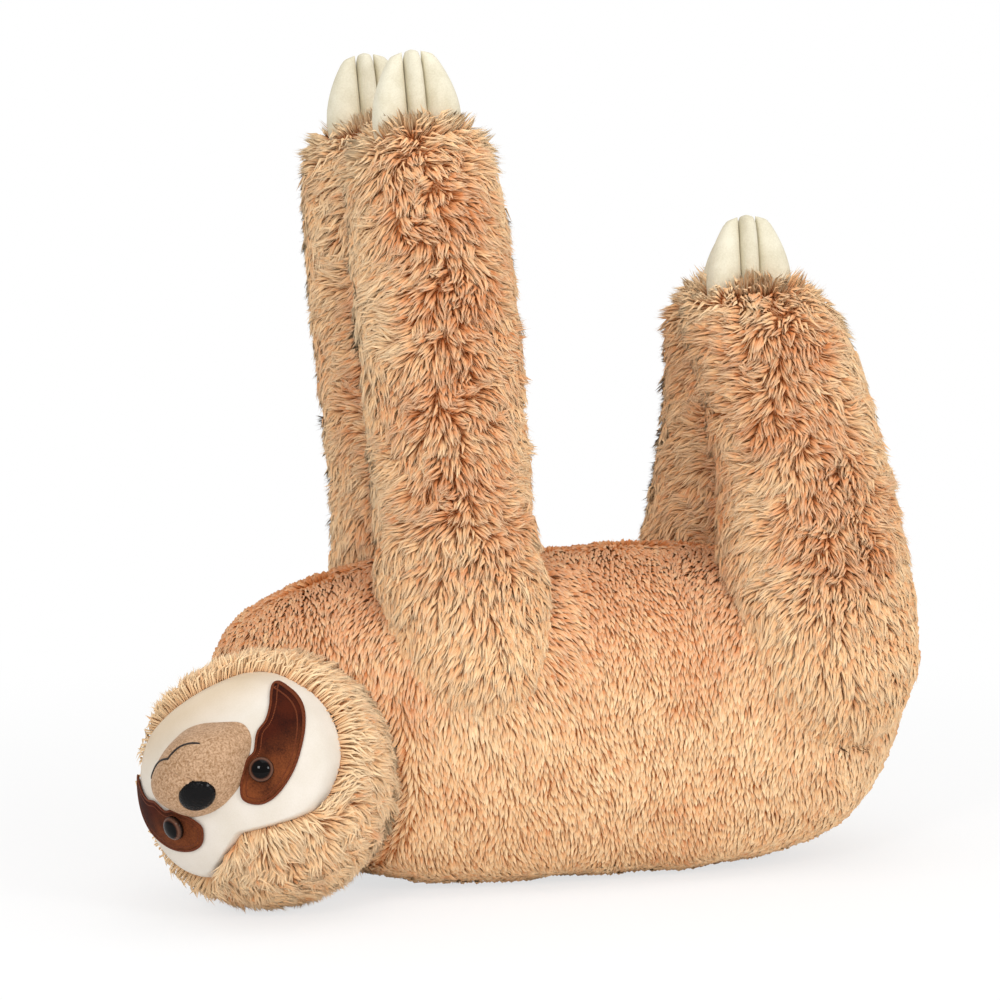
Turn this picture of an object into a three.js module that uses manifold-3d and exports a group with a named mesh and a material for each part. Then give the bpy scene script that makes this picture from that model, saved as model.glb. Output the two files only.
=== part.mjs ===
// Plush sloth lying on its back, limbs up and head turned to one side.
// Millimetres. +X points from the head to the rump, +Z up, and the sloth's right side faces -Y.
// The origin is the middle of the flat of its back, on the surface that it lies on.
import * as THREE from 'three';
import { mergeVertices } from 'three/addons/utils/BufferGeometryUtils.js';
import Module from 'manifold-3d';

const wasm = await Module();
wasm.setup();

// Fits shared by every piece
const fit = {
  gap: 0.3,
  swing: 0.5,
  overrun: 20,
  restFlat: 0.5,
};

// Torso, a long blunt bag with its back flattened by its own weight, from throat to rump
const torso = {
  throatLength: 281,
  rumpLength: 270,
  halfWidth: 118,
  halfHeight: 123.5,
  rumpLift: 45,
  wall: 12,
};
const torsoFormShares = { endPower: 3, rumpPower: 8, bellyPower: 2.3, backPower: 4 };

// Head, a ball that is sewn into the side of the throat and turns there
const head = {
  radius: 97,
  x: -257,
  y: -85,
  wall: 12,
  mouth: 36,
};

// Face pieces, placed from the middle of the head: across, up and forward
const face = {
  panelDrop: 3,
  halfWidth: 82,
  lobeRise: 44,
  chinDrop: 78,
  patchThickness: 1.6,
};
const muzzle = { halfWidth: 44, halfHeight: 33, halfDepth: 36.5, drop: 20, sunk: 17, wall: 3 };
const eye = {
  across: 41.4,
  rise: 3,
  radius: 9,
  dome: 6.5,
  rim: 1.4,
  shankRadius: 2.3,
  shankLength: 15,
  washerRadius: 10,
  washerThickness: 2,
};
const nose = {
  halfWidth: 14,
  halfHeight: 12,
  dome: 7,
  rim: 1.2,
  sink: 1.6,
  drop: 4,
  shankRadius: 2.3,
  shankLength: 9,
  washerRadius: 7,
  washerThickness: 2,
};
const mouth = { halfWidth: 22, below: 36.5, lobe: 3, smile: 3.5, threadRadius: 0.9 };

// Limbs, each a long tapering bag whose round root turns in the torso
const arm = {
  x: -100,
  y: 68,
  z: 178,
  length: 407,
  rootRadius: 69,
  rootHalfWidth: 59,
  wall: 12,
  pawWall: 26,
  mouth: 26,
  lean: -5,
  bow: 3,
  swingMin: -30,
  swingMax: 10,
};
const rightLeg = {
  x: 182,
  y: 70,
  z: 165,
  length: 298,
  rootRadius: 80,
  rootHalfWidth: 62,
  wall: 12,
  pawWall: 26,
  mouth: 30,
  lean: -2.9,
  bow: 54,
  swingMin: -8,
  swingMax: 28,
};
// The far leg stands straighter and a little nearer to the head
const leftLeg = { ...rightLeg, x: 160, length: 288, lean: 5, bow: 15, swingMin: -13, swingMax: 20 };

// How full each limb is on its way from root to paw: share of length, share of the root's size
const armFullnessShares = [
  [0, 1], [0.1, 1], [0.18, 0.95], [0.26, 0.88], [0.38, 0.88], [0.52, 0.9], [0.68, 0.89],
  [0.8, 0.88], [0.88, 0.83], [0.93, 0.75], [0.97, 0.58], [0.992, 0.33],
];
const legFullnessShares = [
  [0, 1], [0.15, 1], [0.3, 0.97], [0.42, 0.89], [0.54, 0.845], [0.7, 0.82], [0.84, 0.785],
  [0.92, 0.7], [0.965, 0.55], [0.99, 0.34],
];
// How fast a limb bends towards the head on its way up
const bowPower = 3;

// Claws, three stuffed fingers to a paw, the middle one narrow
const claw = {
  rise: 44,
  rootDepth: 20,
  pitch: 20.5,
  outerHalfWidth: 13,
  middleHalfWidth: 7.1,
  halfDepth: 12,
  middleRise: 45.5,
  tipShare: 0.35,
};
const clawFullnessShares = [
  [0, 0.8], [0.12, 0.95], [0.3, 1], [0.5, 0.97], [0.65, 0.9], [0.8, 0.77], [0.91, 0.6], [0.97, 0.42],
];
const middleClawFullnessShares = [
  [0, 0.8], [0.12, 0.95], [0.3, 1], [0.6, 0.99], [0.8, 0.95], [0.92, 0.84], [0.98, 0.55],
];

// Outline of the cream face, right half, as shares of its half width, lobe rise and chin drop
const faceOutlineShares = [
  [0, 0.78, 0], [0.12, 0.83, 0], [0.38, 0.97, 0], [0.62, 1, 0], [0.86, 0.62, 0], [0.98, 0.12, 0],
  [1, 0, 0.1], [0.93, 0, 0.37], [0.77, 0, 0.68], [0.54, 0, 0.87], [0.3, 0, 0.97], [0, 0, 1],
];
// Outline of the right eye patch, as shares of the face's half width, across and up
const patchOutlineShares = [
  [0.79, -0.62], [0.92, -0.3], [0.9, -0.12], [0.83, 0.04], [0.68, 0.2], [0.44, 0.3], [0.31, 0.27],
  [0.22, 0.18], [0.25, 0.1], [0.4, -0.05], [0.53, -0.15], [0.61, -0.28], [0.71, -0.37], [0.77, -0.5],
];

// Facets
const facets = {
  torsoAround: 28,
  torsoAlong: 16,
  liningAround: 16,
  liningAlong: 8,
  headAround: 22,
  headAlong: 12,
  seatAround: 24,
  seatAlong: 14,
  muzzleAround: 18,
  muzzleAlong: 10,
  limbAround: 18,
  coreAround: 10,
  rootRings: 4,
  coreRootRings: 2,
  clawAround: 8,
  rootArc: 9,
  farArc: 3,
  holeAlong: 8,
  round: 12,
  domeRings: 4,
  shankRibs: 2,
  thread: 5,
  threadSteps: 12,
};

const colours = {
  fur: 0xd9b087,
  stuffing: 0xf2efe8,
  cream: 0xeee2cd,
  patch: 0x402010,
  muzzle: 0xb79577,
  black: 0x0c0a09,
  iris: 0x3a1c0c,
  claw: 0xece5cb,
  washer: 0xe9e9e4,
};

const radians = THREE.MathUtils.degToRad;
const spread = (n, f) => Array.from({ length: n }, (_, i) => f(i));
const furMatter = () => new THREE.MeshStandardMaterial({ color: colours.fur, roughness: 0.95 });
const fillMatter = () => new THREE.MeshStandardMaterial({ color: colours.stuffing, roughness: 1 });
const matter = (color, roughness) => new THREE.MeshStandardMaterial({ color, roughness });

// Solids from geometries, and back
function solid(geometry, matrix) {
  const bare = geometry.clone();
  bare.deleteAttribute('normal');
  bare.deleteAttribute('uv');
  if (matrix) bare.applyMatrix4(matrix);
  const merged = mergeVertices(bare);
  return new wasm.Manifold(new wasm.Mesh({
    numProp: 3,
    vertProperties: new Float32Array(merged.attributes.position.array),
    triVerts: new Uint32Array(merged.index.array),
  }));
}
function geometryOf(body) {
  const mesh = body.getMesh();
  const geometry = new THREE.BufferGeometry();
  geometry.setAttribute('position', new THREE.BufferAttribute(mesh.vertProperties, 3));
  geometry.setIndex(new THREE.BufferAttribute(mesh.triVerts, 1));
  geometry.computeVertexNormals();
  return geometry;
}
function piece(name, body, material) {
  const mesh = new THREE.Mesh(geometryOf(body), material);
  mesh.name = name;
  return mesh;
}

// A closed skin over rings of points, each ring wound alike, with a point or a flat fan at each end
function loft(rings, firstTip, lastTip) {
  const around = rings[0].length;
  const points = [...rings.flat(), firstTip, lastTip];
  const first = points.length - 2;
  const last = points.length - 1;
  const index = [];
  for (let j = 0; j < around; j += 1) {
    const k = (j + 1) % around;
    index.push(first, k, j);
    for (let i = 0; i + 1 < rings.length; i += 1) {
      const low = i * around;
      const high = low + around;
      index.push(low + j, low + k, high + k, low + j, high + k, high + j);
    }
    const top = (rings.length - 1) * around;
    index.push(last, top + j, top + k);
  }
  const geometry = new THREE.BufferGeometry().setFromPoints(points);
  geometry.setIndex(index);
  return geometry;
}

// Signed power, which squares off an ellipse
const bulge = (value, power) => Math.sign(value) * Math.abs(value) ** (2 / power);

// Torso form, drawn in by a given inset
function torsoSolid(inset, around, along) {
  const reach = (x) => (x < 0 ? torso.throatLength : torso.rumpLength) - inset;
  const shares = torsoFormShares;
  const lift = (x) => torso.rumpLift * Math.max(0, x / torso.rumpLength) ** shares.rumpPower;
  const middle = (x) => torso.halfHeight - fit.restFlat + lift(x);
  const rings = spread(along - 1, (i) => {
    const share = -Math.cos((Math.PI * (i + 1)) / along);
    const x = share * reach(share);
    const size = (1 - Math.abs(share) ** shares.endPower) ** (1 / shares.endPower);
    return spread(around, (j) => {
      const turn = (2 * Math.PI * j) / around;
      const power = Math.sin(turn) < 0 ? shares.backPower : shares.bellyPower;
      const y = (torso.halfWidth - inset) * size * bulge(Math.cos(turn), power);
      const z = (torso.halfHeight - inset) * size * bulge(Math.sin(turn), power);
      return new THREE.Vector3(x, y, middle(x) + z);
    });
  });
  const tip = (x) => new THREE.Vector3(x, 0, middle(x));
  return solid(loft(rings, tip(-reach(-1)), tip(reach(1))));
}

// Everything under the surface that the sloth lies on
function floorBlock() {
  const wide = 2 * (torso.throatLength + head.radius - head.x);
  const deep = head.radius + fit.overrun;
  const block = new THREE.BoxGeometry(wide, wide, deep);
  return solid(block.translate(0, 0, -deep / 2));
}

// How far a limb's middle line has bent towards the head at a height over its root
const bowAt = (limb, z) => limb.bow * Math.max(0, z / limb.length) ** bowPower;

// Limb form along +Z from the middle of its root, with its root a round that turns about Y
function limbSolid(limb, shares, inset, endWall, around, rootRings) {
  const radius = limb.rootRadius - inset;
  const width = limb.rootHalfWidth - inset;
  const length = limb.length - endWall;
  const ring = (z, share) => spread(around, (j) => {
    const turn = (2 * Math.PI * j) / around;
    const x = radius * share * Math.cos(turn) - bowAt(limb, z);
    return new THREE.Vector3(x, width * share * Math.sin(turn), z);
  });
  const root = spread(rootRings, (i) => {
    const turn = (Math.PI / 2) * ((i + 1) / (rootRings + 1));
    return ring(-radius * Math.cos(turn), Math.sin(turn));
  });
  const shaft = shares.map(([along, full]) => ring(length * along, full));
  return solid(loft(
    [...root, ...shaft],
    new THREE.Vector3(0, 0, -radius),
    new THREE.Vector3(-bowAt(limb, length), 0, length),
  ));
}

// The hole that a round root needs as it turns about Y: a fan between its two limits
function swingHole(radius, width, reach, minimum, maximum) {
  const quarter = Math.PI / 2;
  const low = radians(minimum);
  const high = radians(maximum);
  const middle = (low + high) / 2;
  const way = (turn) => new THREE.Vector2(Math.sin(turn), Math.cos(turn));
  // Each corner of the fan is rounded between the directions that its two sides face
  const corners = [
    [way(low).multiplyScalar(reach), low - quarter, middle, facets.farArc],
    [way(high).multiplyScalar(reach), middle, high + quarter, facets.farArc],
    [new THREE.Vector2(), high + quarter, low - quarter + 2 * Math.PI, facets.rootArc],
  ];
  // Flat facets lie outside the round that they go about
  const arcStep = (low - high + Math.PI) / facets.rootArc;
  const outside = Math.cos(arcStep / 2) * Math.cos(Math.PI / (2 * facets.holeAlong));
  const rings = spread(facets.holeAlong, (i) => {
    const slope = Math.PI * ((i + 0.5) / facets.holeAlong - 0.5);
    return corners.flatMap(([corner, from, to, steps]) => spread(steps + 1, (j) => {
      const point = way(from + ((to - from) * j) / steps);
      point.multiplyScalar((radius * Math.cos(slope)) / outside).add(corner);
      return new THREE.Vector3(point.x, (width * Math.sin(slope)) / outside, point.y);
    }));
  });
  const centre = way(middle).multiplyScalar(reach / 2);
  const tip = (i) => new THREE.Vector3(centre.x, rings[i][0].y, centre.y);
  return loft(rings, tip(0), tip(rings.length - 1));
}

// One claw along +Z from the top of the paw, an outer one drawn in towards the middle of the paw
function clawSolid(shares, width, rise, across, growth) {
  const depth = claw.halfDepth + growth;
  const start = -claw.rootDepth - growth;
  const length = rise - start + growth;
  const rings = shares.map(([along, full]) => spread(facets.clawAround, (j) => {
    const turn = (2 * Math.PI * j) / facets.clawAround;
    const drawnIn = Math.sign(across) * width * Math.min(0, full - 1);
    const x = drawnIn + (width + growth) * full * Math.cos(turn);
    return new THREE.Vector3(x, depth * full * Math.sin(turn), start + length * along);
  }));
  const tip = Math.sign(across) * width * (claw.tipShare - 1);
  return solid(loft(
    rings,
    new THREE.Vector3(0, 0, start),
    new THREE.Vector3(tip, 0, start + length),
  ));
}

// The three claws of a paw: name, fullness, half width, rise, place across the paw
const clawPlaces = [
  ['front', clawFullnessShares, claw.outerHalfWidth, claw.rise, -claw.pitch],
  ['middle', middleClawFullnessShares, claw.middleHalfWidth, claw.middleRise, 0],
  ['back', clawFullnessShares, claw.outerHalfWidth, claw.rise, claw.pitch],
];

function limbGroup(name, limb, shares, side) {
  const group = new THREE.Group();
  const root = limbSolid(limb, shares, 0, 0, facets.limbAround, facets.rootRings);
  const core = (inset, extra) => limbSolid(
    limb, shares, limb.wall + inset, limb.pawWall + extra, facets.coreAround, facets.coreRootRings,
  );
  const mouthTube = (radius) => {
    const tube = new THREE.CylinderGeometry(radius, radius, limb.rootRadius, facets.round);
    return solid(tube.rotateX(Math.PI / 2).translate(0, 0, -limb.rootRadius / 2));
  };
  const plug = mouthTube(limb.mouth - fit.gap).intersect(root);
  let skin = root.subtract(core(0, 0)).subtract(mouthTube(limb.mouth));
  const pawMiddle = -bowAt(limb, limb.length - claw.rootDepth);
  clawPlaces.forEach(([place, fullness, width, rise, across]) => {
    const clawBody = (growth) => clawSolid(fullness, width, rise, across, growth)
      .translate([pawMiddle + across, 0, limb.length]);
    skin = skin.subtract(clawBody(fit.gap));
    group.add(piece(`${name}_claw_${place}`, clawBody(0), matter(colours.claw, 0.9)));
  });
  group.add(piece(`${name}_fur`, skin, furMatter()));
  group.add(piece(`${name}_stuffing`, core(fit.gap, fit.gap).add(plug), fillMatter()));
  group.position.set(limb.x, side * limb.y, limb.z);
  group.rotation.y = radians(limb.lean);
  return group;
}

function limbHole(limb, side) {
  const radius = limb.rootRadius + fit.swing;
  const width = limb.rootHalfWidth + fit.swing;
  const hole = swingHole(
    radius, width, 2 * limb.rootRadius, limb.lean + limb.swingMin, limb.lean + limb.swingMax,
  );
  return solid(hole.translate(limb.x, side * limb.y, limb.z));
}

// Head: its middle and its facing, across towards its left eye, up towards its forehead
const headMiddle = new THREE.Vector3(head.x, head.y, head.radius - fit.restFlat);
const acrossWay = new THREE.Vector3(-0.66, 0.495, -0.565).normalize();
const forwardWay = new THREE.Vector3(-0.622, -0.782, 0.042);
forwardWay.addScaledVector(acrossWay, -forwardWay.dot(acrossWay)).normalize();
const upWay = new THREE.Vector3().crossVectors(forwardWay, acrossWay);
const headPlace = new THREE.Matrix4().makeBasis(acrossWay, upWay, forwardWay).setPosition(headMiddle);
const intoHead = headPlace.clone().invert();
const headBall = (radius, around = facets.headAround, along = facets.headAlong) => solid(
  new THREE.SphereGeometry(radius, around, along),
);

// The opening at the back of the head, towards the middle of the torso's near end
function headMouth(radius) {
  const throat = new THREE.Vector3(head.x + head.radius, 0, head.radius).applyMatrix4(intoHead);
  const tube = new THREE.CylinderGeometry(radius, radius, head.radius, facets.round);
  tube.translate(0, head.radius / 2, 0);
  const turn = new THREE.Quaternion().setFromUnitVectors(new THREE.Vector3(0, 1, 0), throat.normalize());
  return solid(tube.applyQuaternion(turn));
}

// A prism through the front of the head from an outline across and up
function frontPrism(points) {
  const shape = new THREE.Shape(points);
  return solid(new THREE.ExtrudeGeometry(shape, { depth: head.radius + fit.overrun, bevelEnabled: false }));
}
function facePoints(growth) {
  const half = faceOutlineShares.map(([across, up, down]) => new THREE.Vector2(
    across * (face.halfWidth + growth),
    up * (face.lobeRise + growth) - down * (face.chinDrop + growth),
  ));
  const right = new THREE.SplineCurve(half).getPoints(2 * half.length);
  const left = right.slice(1, -1).reverse().map((p) => new THREE.Vector2(-p.x, p.y));
  return [...right, ...left];
}
function patchPoints(side) {
  const points = patchOutlineShares.map(([across, up]) => new THREE.Vector2(
    side * across * face.halfWidth, up * face.halfWidth,
  ));
  const curve = new THREE.SplineCurve([...points, points[0]]);
  return curve.getPoints(2 * points.length).slice(0, -1);
}

const muzzleForward = head.radius - muzzle.sunk;
function ellipsoid(growth) {
  const ball = new THREE.SphereGeometry(1, facets.muzzleAround, facets.muzzleAlong);
  ball.scale(muzzle.halfWidth + growth, muzzle.halfHeight + growth, muzzle.halfDepth + growth);
  return solid(ball.translate(0, -muzzle.drop, muzzleForward));
}

// A safety fitting: a domed button on a ribbed shank, along +Y, with its underside at zero
function button(width, height, form) {
  const dome = spread(facets.domeRings, (i) => {
    const turn = (Math.PI / 2) * (i / facets.domeRings);
    return new THREE.Vector2(Math.cos(turn), form.rim + (form.dome - form.rim) * Math.sin(turn));
  });
  const stem = form.shankRadius;
  const rib = stem - fit.gap;
  const ribs = spread(facets.shankRibs, (i) => {
    const y = -form.shankLength * (1 - (i + 1) / (facets.shankRibs + 2));
    return [new THREE.Vector2(stem / width, y), new THREE.Vector2(rib / width, y + stem / 2)];
  }).flat();
  const profile = [
    new THREE.Vector2(0, -form.shankLength),
    new THREE.Vector2(stem / 2 / width, -form.shankLength),
    ...ribs,
    new THREE.Vector2(rib / width, -fit.gap),
    new THREE.Vector2(stem / width, 0),
    new THREE.Vector2(0.9, 0),
    new THREE.Vector2(1, form.rim / 2),
    ...dome,
    new THREE.Vector2(0, form.dome),
  ];
  return new THREE.LatheGeometry(profile, facets.round).scale(width, 1, height);
}
function washer(form) {
  const bore = form.shankRadius + fit.gap;
  const profile = [
    new THREE.Vector2(bore, 0),
    new THREE.Vector2(bore, -form.washerThickness),
    new THREE.Vector2(form.washerRadius, -form.washerThickness),
    new THREE.Vector2(form.washerRadius, 0),
    new THREE.Vector2(bore, 0),
  ];
  return new THREE.LatheGeometry(profile, facets.round);
}
const drill = (form) => new THREE.CylinderGeometry(
  form.shankRadius + fit.gap, form.shankRadius + fit.gap, 4 * form.shankLength, facets.round,
);
const room = (form) => {
  const radius = form.washerRadius + fit.gap;
  const deep = form.shankLength + fit.gap;
  return new THREE.CylinderGeometry(radius, radius, deep, facets.round).translate(0, -deep / 2, 0);
};

// A place on the head that looks outwards along a way, at a distance from a middle
function facing(middle, way, distance) {
  const turn = new THREE.Quaternion().setFromUnitVectors(new THREE.Vector3(0, 1, 0), way);
  const place = middle.clone().addScaledVector(way, distance);
  return new THREE.Matrix4().compose(place, turn, new THREE.Vector3(1, 1, 1));
}

function headGroup() {
  const group = new THREE.Group();
  const zero = new THREE.Vector3();
  const panelRadius = head.radius - face.panelDrop;
  const hollowRadius = head.radius - head.wall;
  const floor = floorBlock().transform(intoHead.toArray());
  const lining = (inset) => headBall(hollowRadius - inset, facets.liningAround, facets.liningAlong);
  const outer = headBall(head.radius).subtract(floor);

  // Cream face, which fills the front opening of the fur
  const skin = outer.subtract(lining(0)).subtract(headMouth(head.mouth));
  const panel = headBall(panelRadius).subtract(lining(0)).intersect(frontPrism(facePoints(0)));
  const furRim = frontPrism(facePoints(fit.gap));

  // Muzzle, a stuffed dome sewn on the face
  const bed = headBall(panelRadius + fit.gap);
  const muzzleRoom = ellipsoid(-muzzle.wall);
  let muzzleSkin = ellipsoid(0).subtract(muzzleRoom).subtract(bed);
  let muzzleFill = ellipsoid(-muzzle.wall - fit.gap).subtract(bed);

  // Nose on the muzzle, by its shank and washer
  const noseUp = muzzle.drop - nose.drop;
  const noseReach = muzzle.halfDepth * Math.sqrt(1 - (noseUp / muzzle.halfHeight) ** 2);
  const noseWay = new THREE.Vector3(
    0, noseUp / muzzle.halfHeight ** 2, noseReach / muzzle.halfDepth ** 2,
  ).normalize();
  const noseSeat = new THREE.Vector3(0, -nose.drop, muzzleForward + noseReach);
  const nosePlace = facing(noseSeat, noseWay, -nose.sink);
  const noseBack = -muzzle.wall - (1.6 * nose.washerRadius ** 2) / muzzle.halfDepth;
  const noseWasher = facing(noseSeat, noseWay, noseBack);
  const noseBed = facing(noseSeat, noseWay, -nose.sink - fit.gap);
  const dent = button(nose.halfWidth + fit.gap, nose.halfHeight + fit.gap, nose);
  muzzleSkin = muzzleSkin.subtract(solid(dent, noseBed));
  muzzleSkin = muzzleSkin.subtract(solid(drill(nose), nosePlace));
  muzzleFill = muzzleFill.subtract(solid(drill(nose), nosePlace));
  const washerRoom = facing(noseSeat, noseWay, noseBack + fit.gap);
  muzzleFill = muzzleFill.subtract(solid(room(nose), washerRoom));
  const noseBody = solid(button(nose.halfWidth, nose.halfHeight, nose), nosePlace);

  // Eyes through patch, face and lining, each held by a washer
  let drilledPanel = panel;
  const plug = headMouth(head.mouth - fit.gap).intersect(outer);
  let fill = lining(fit.gap).add(plug);
  // The lining is faceted, so its hollow is a little smaller than its radius
  const flatness = Math.cos(Math.PI / facets.liningAround) * Math.cos(Math.PI / (2 * facets.liningAlong));
  const clearRadius = hollowRadius * flatness - fit.gap;
  const washerSeat = Math.sqrt(clearRadius ** 2 - eye.washerRadius ** 2);
  const patchBed = headBall(panelRadius + fit.gap);
  const patchTop = headBall(panelRadius + fit.gap + face.patchThickness);
  [['right', -1], ['left', 1]].forEach(([name, side]) => {
    const forward = Math.sqrt(head.radius ** 2 - eye.across ** 2 - eye.rise ** 2);
    const way = new THREE.Vector3(side * eye.across, eye.rise, forward).normalize();
    const seat = facing(zero, way, panelRadius + 2 * fit.gap + face.patchThickness);
    const back = facing(zero, way, washerSeat);
    const bore = solid(drill(eye), seat);
    const patch = patchTop.subtract(patchBed).intersect(frontPrism(patchPoints(side)))
      .subtract(ellipsoid(fit.gap)).subtract(bore);
    drilledPanel = drilledPanel.subtract(bore);
    fill = fill.subtract(solid(room(eye), facing(zero, way, hollowRadius)));
    group.add(piece(`${name}_eye_patch`, patch, matter(colours.patch, 0.9)));
    const buttonBody = solid(button(eye.radius, eye.radius, eye), seat);
    group.add(piece(`${name}_eye`, buttonBody, matter(colours.iris, 0.1)));
    group.add(piece(`${name}_eye_washer`, solid(washer(eye), back), matter(colours.washer, 0.5)));
  });

  // Mouth, one thread along the muzzle in two shallow lobes
  const mouthPoints = spread(facets.threadSteps + 1, (i) => {
    const share = (2 * i) / facets.threadSteps - 1;
    const across = share * mouth.halfWidth;
    const away = Math.abs(share);
    const rise = (2 * mouth.smile + 4 * mouth.lobe) * away ** 2 - (mouth.smile + 4 * mouth.lobe) * away;
    const up = rise - mouth.below;
    const lift = 1 - (across / muzzle.halfWidth) ** 2 - ((up + muzzle.drop) / muzzle.halfHeight) ** 2;
    const forward = muzzleForward + muzzle.halfDepth * Math.sqrt(lift);
    return new THREE.Vector3(across, up, forward + mouth.threadRadius);
  });
  const section = new THREE.Shape(spread(facets.thread, (j) => {
    const turn = (2 * Math.PI * j) / facets.thread;
    return new THREE.Vector2(Math.cos(turn), Math.sin(turn)).multiplyScalar(mouth.threadRadius);
  }));
  const thread = new THREE.ExtrudeGeometry(section, {
    steps: facets.threadSteps,
    bevelEnabled: false,
    extrudePath: new THREE.CatmullRomCurve3(mouthPoints),
  });

  group.add(piece('head_fur', skin.subtract(furRim), furMatter()));
  group.add(piece('head_stuffing', fill, fillMatter()));
  group.add(piece('face_panel', drilledPanel, matter(colours.cream, 0.95)));
  group.add(piece('muzzle', muzzleSkin, matter(colours.muzzle, 0.95)));
  group.add(piece('muzzle_stuffing', muzzleFill, fillMatter()));
  group.add(piece('nose', noseBody, matter(colours.black, 0.3)));
  group.add(piece('nose_washer', solid(washer(nose), noseWasher), matter(colours.washer, 0.5)));
  group.add(piece('mouth_stitch', solid(thread).subtract(ellipsoid(fit.gap)), matter(colours.black, 0.7)));
  group.applyMatrix4(headPlace);
  return group;
}

// The round seat of the head in the throat
function headSeat() {
  const round = Math.cos(Math.PI / facets.seatAround) * Math.cos(Math.PI / (2 * facets.seatAlong));
  const radius = (head.radius + fit.swing) / round;
  const ball = new THREE.SphereGeometry(radius, facets.seatAround, facets.seatAlong);
  return solid(ball.rotateX(Math.PI / 2).translate(headMiddle.x, headMiddle.y, headMiddle.z));
}

function torsoGroup() {
  const group = new THREE.Group();
  const outer = torsoSolid(0, facets.torsoAround, facets.torsoAlong).subtract(floorBlock());
  const lining = (inset) => torsoSolid(
    torso.wall + inset, facets.liningAround, facets.liningAlong,
  );
  const holes = [
    limbHole(arm, -1), limbHole(arm, 1), limbHole(rightLeg, -1), limbHole(leftLeg, 1),
    headSeat(),
  ];
  const cut = (body) => holes.reduce((rest, hole) => rest.subtract(hole), body);
  group.add(piece('torso_fur', cut(outer.subtract(lining(0))), furMatter()));
  group.add(piece('torso_stuffing', cut(lining(fit.gap)), fillMatter()));
  return group;
}

const sloth = new THREE.Group();
sloth.add(torsoGroup());
sloth.add(headGroup());
[['right', -1, rightLeg], ['left', 1, leftLeg]].forEach(([name, side, leg]) => {
  sloth.add(limbGroup(`${name}_arm`, arm, armFullnessShares, side));
  sloth.add(limbGroup(`${name}_leg`, leg, legFullnessShares, side));
});

export default sloth;
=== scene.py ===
"""Looks of a plush sloth that lies on its back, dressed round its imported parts.

Lengths in the classes are millimetres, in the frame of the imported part: +X runs from the head to
the rump, +Z up, and the sloth's right side faces -Y. Meshes are made in metres.
"""

import logging
import math
from dataclasses import dataclass, field, replace
from enum import Enum
from typing import Any, Callable, Optional, Sequence

import bmesh
import bpy
import numpy as np
from mathutils import Matrix, Vector
from mathutils.kdtree import KDTree


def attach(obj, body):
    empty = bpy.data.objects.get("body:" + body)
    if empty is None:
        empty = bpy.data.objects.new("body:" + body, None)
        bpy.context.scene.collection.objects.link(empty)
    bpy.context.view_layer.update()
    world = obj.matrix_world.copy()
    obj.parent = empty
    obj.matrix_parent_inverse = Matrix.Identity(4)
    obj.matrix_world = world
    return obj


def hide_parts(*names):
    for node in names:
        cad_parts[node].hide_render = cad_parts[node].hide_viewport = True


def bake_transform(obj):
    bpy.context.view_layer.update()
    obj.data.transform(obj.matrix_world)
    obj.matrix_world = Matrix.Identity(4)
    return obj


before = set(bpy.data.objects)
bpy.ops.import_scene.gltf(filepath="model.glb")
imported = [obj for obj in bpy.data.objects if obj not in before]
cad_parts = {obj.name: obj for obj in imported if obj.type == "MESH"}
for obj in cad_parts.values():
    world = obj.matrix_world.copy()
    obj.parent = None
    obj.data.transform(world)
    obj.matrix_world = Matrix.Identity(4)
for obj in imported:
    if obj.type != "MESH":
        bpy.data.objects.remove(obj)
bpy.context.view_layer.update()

LOG = logging.getLogger("plush_sloth")
METRE = 0.001
PILE_MAP = "OFBake"
# The share of the tint ramp's width that a tint stays within
TINT_RANGE = (0.01, 0.97)
# Turns the three numbers of a cell into one
CELL_KEY = np.array([1, 100003, 10000019])
Field = Callable[[np.ndarray], np.ndarray]
Piece = bpy.types.Object
Tree = bpy.types.NodeTree
Source = bpy.types.Node | bpy.types.NodeSocket
Colouring = tuple[Source, Optional[Source]]


# shared helpers
def linear(code: str) -> tuple[float, float, float, float]:
    """Turns an sRGB hex colour into linear light.

    Args:
        code: the colour as "#rrggbb".

    Returns:
        Red, green, blue and an alpha of 1.
    """
    shares = [int(code[i : i + 2], 16) / 255 for i in (1, 3, 5)]
    turned = [s / 12.92 if s <= 0.04045 else ((s + 0.055) / 1.055) ** 2.4 for s in shares]
    return (turned[0], turned[1], turned[2], 1.0)


def add_node(
    tree: Tree,
    kind: str,
    settings: Optional[dict[Any, Any]] = None,
    links: Optional[dict[Any, Source]] = None,
) -> bpy.types.Node:
    """Adds a node with its settings and links.

    Args:
        tree: the node tree that gets it.
        kind: the shader node's type.
        settings: values by attribute name, input name or input number. "stops" fills a ramp with
            (place, hex colour) pairs.
        links: what feeds its inputs, by input name or number: sockets, or nodes for their first.

    Returns:
        The new node.
    """
    node = tree.nodes.new(f"ShaderNode{kind}")
    for key, value in (settings or {}).items():
        if key == "stops":
            ramp = node.color_ramp.elements
            while len(ramp) < len(value):
                ramp.new(0.5)
            for stop, (place, code) in zip(ramp, value):
                stop.position = place
                stop.color = linear(code)
        elif isinstance(key, str) and hasattr(node, key):
            setattr(node, key, value)
        else:
            node.inputs[key].default_value = value
    for key, source in (links or {}).items():
        socket = source.outputs[0] if isinstance(source, bpy.types.Node) else source
        tree.links.new(socket, node.inputs[key])
    return node


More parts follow.
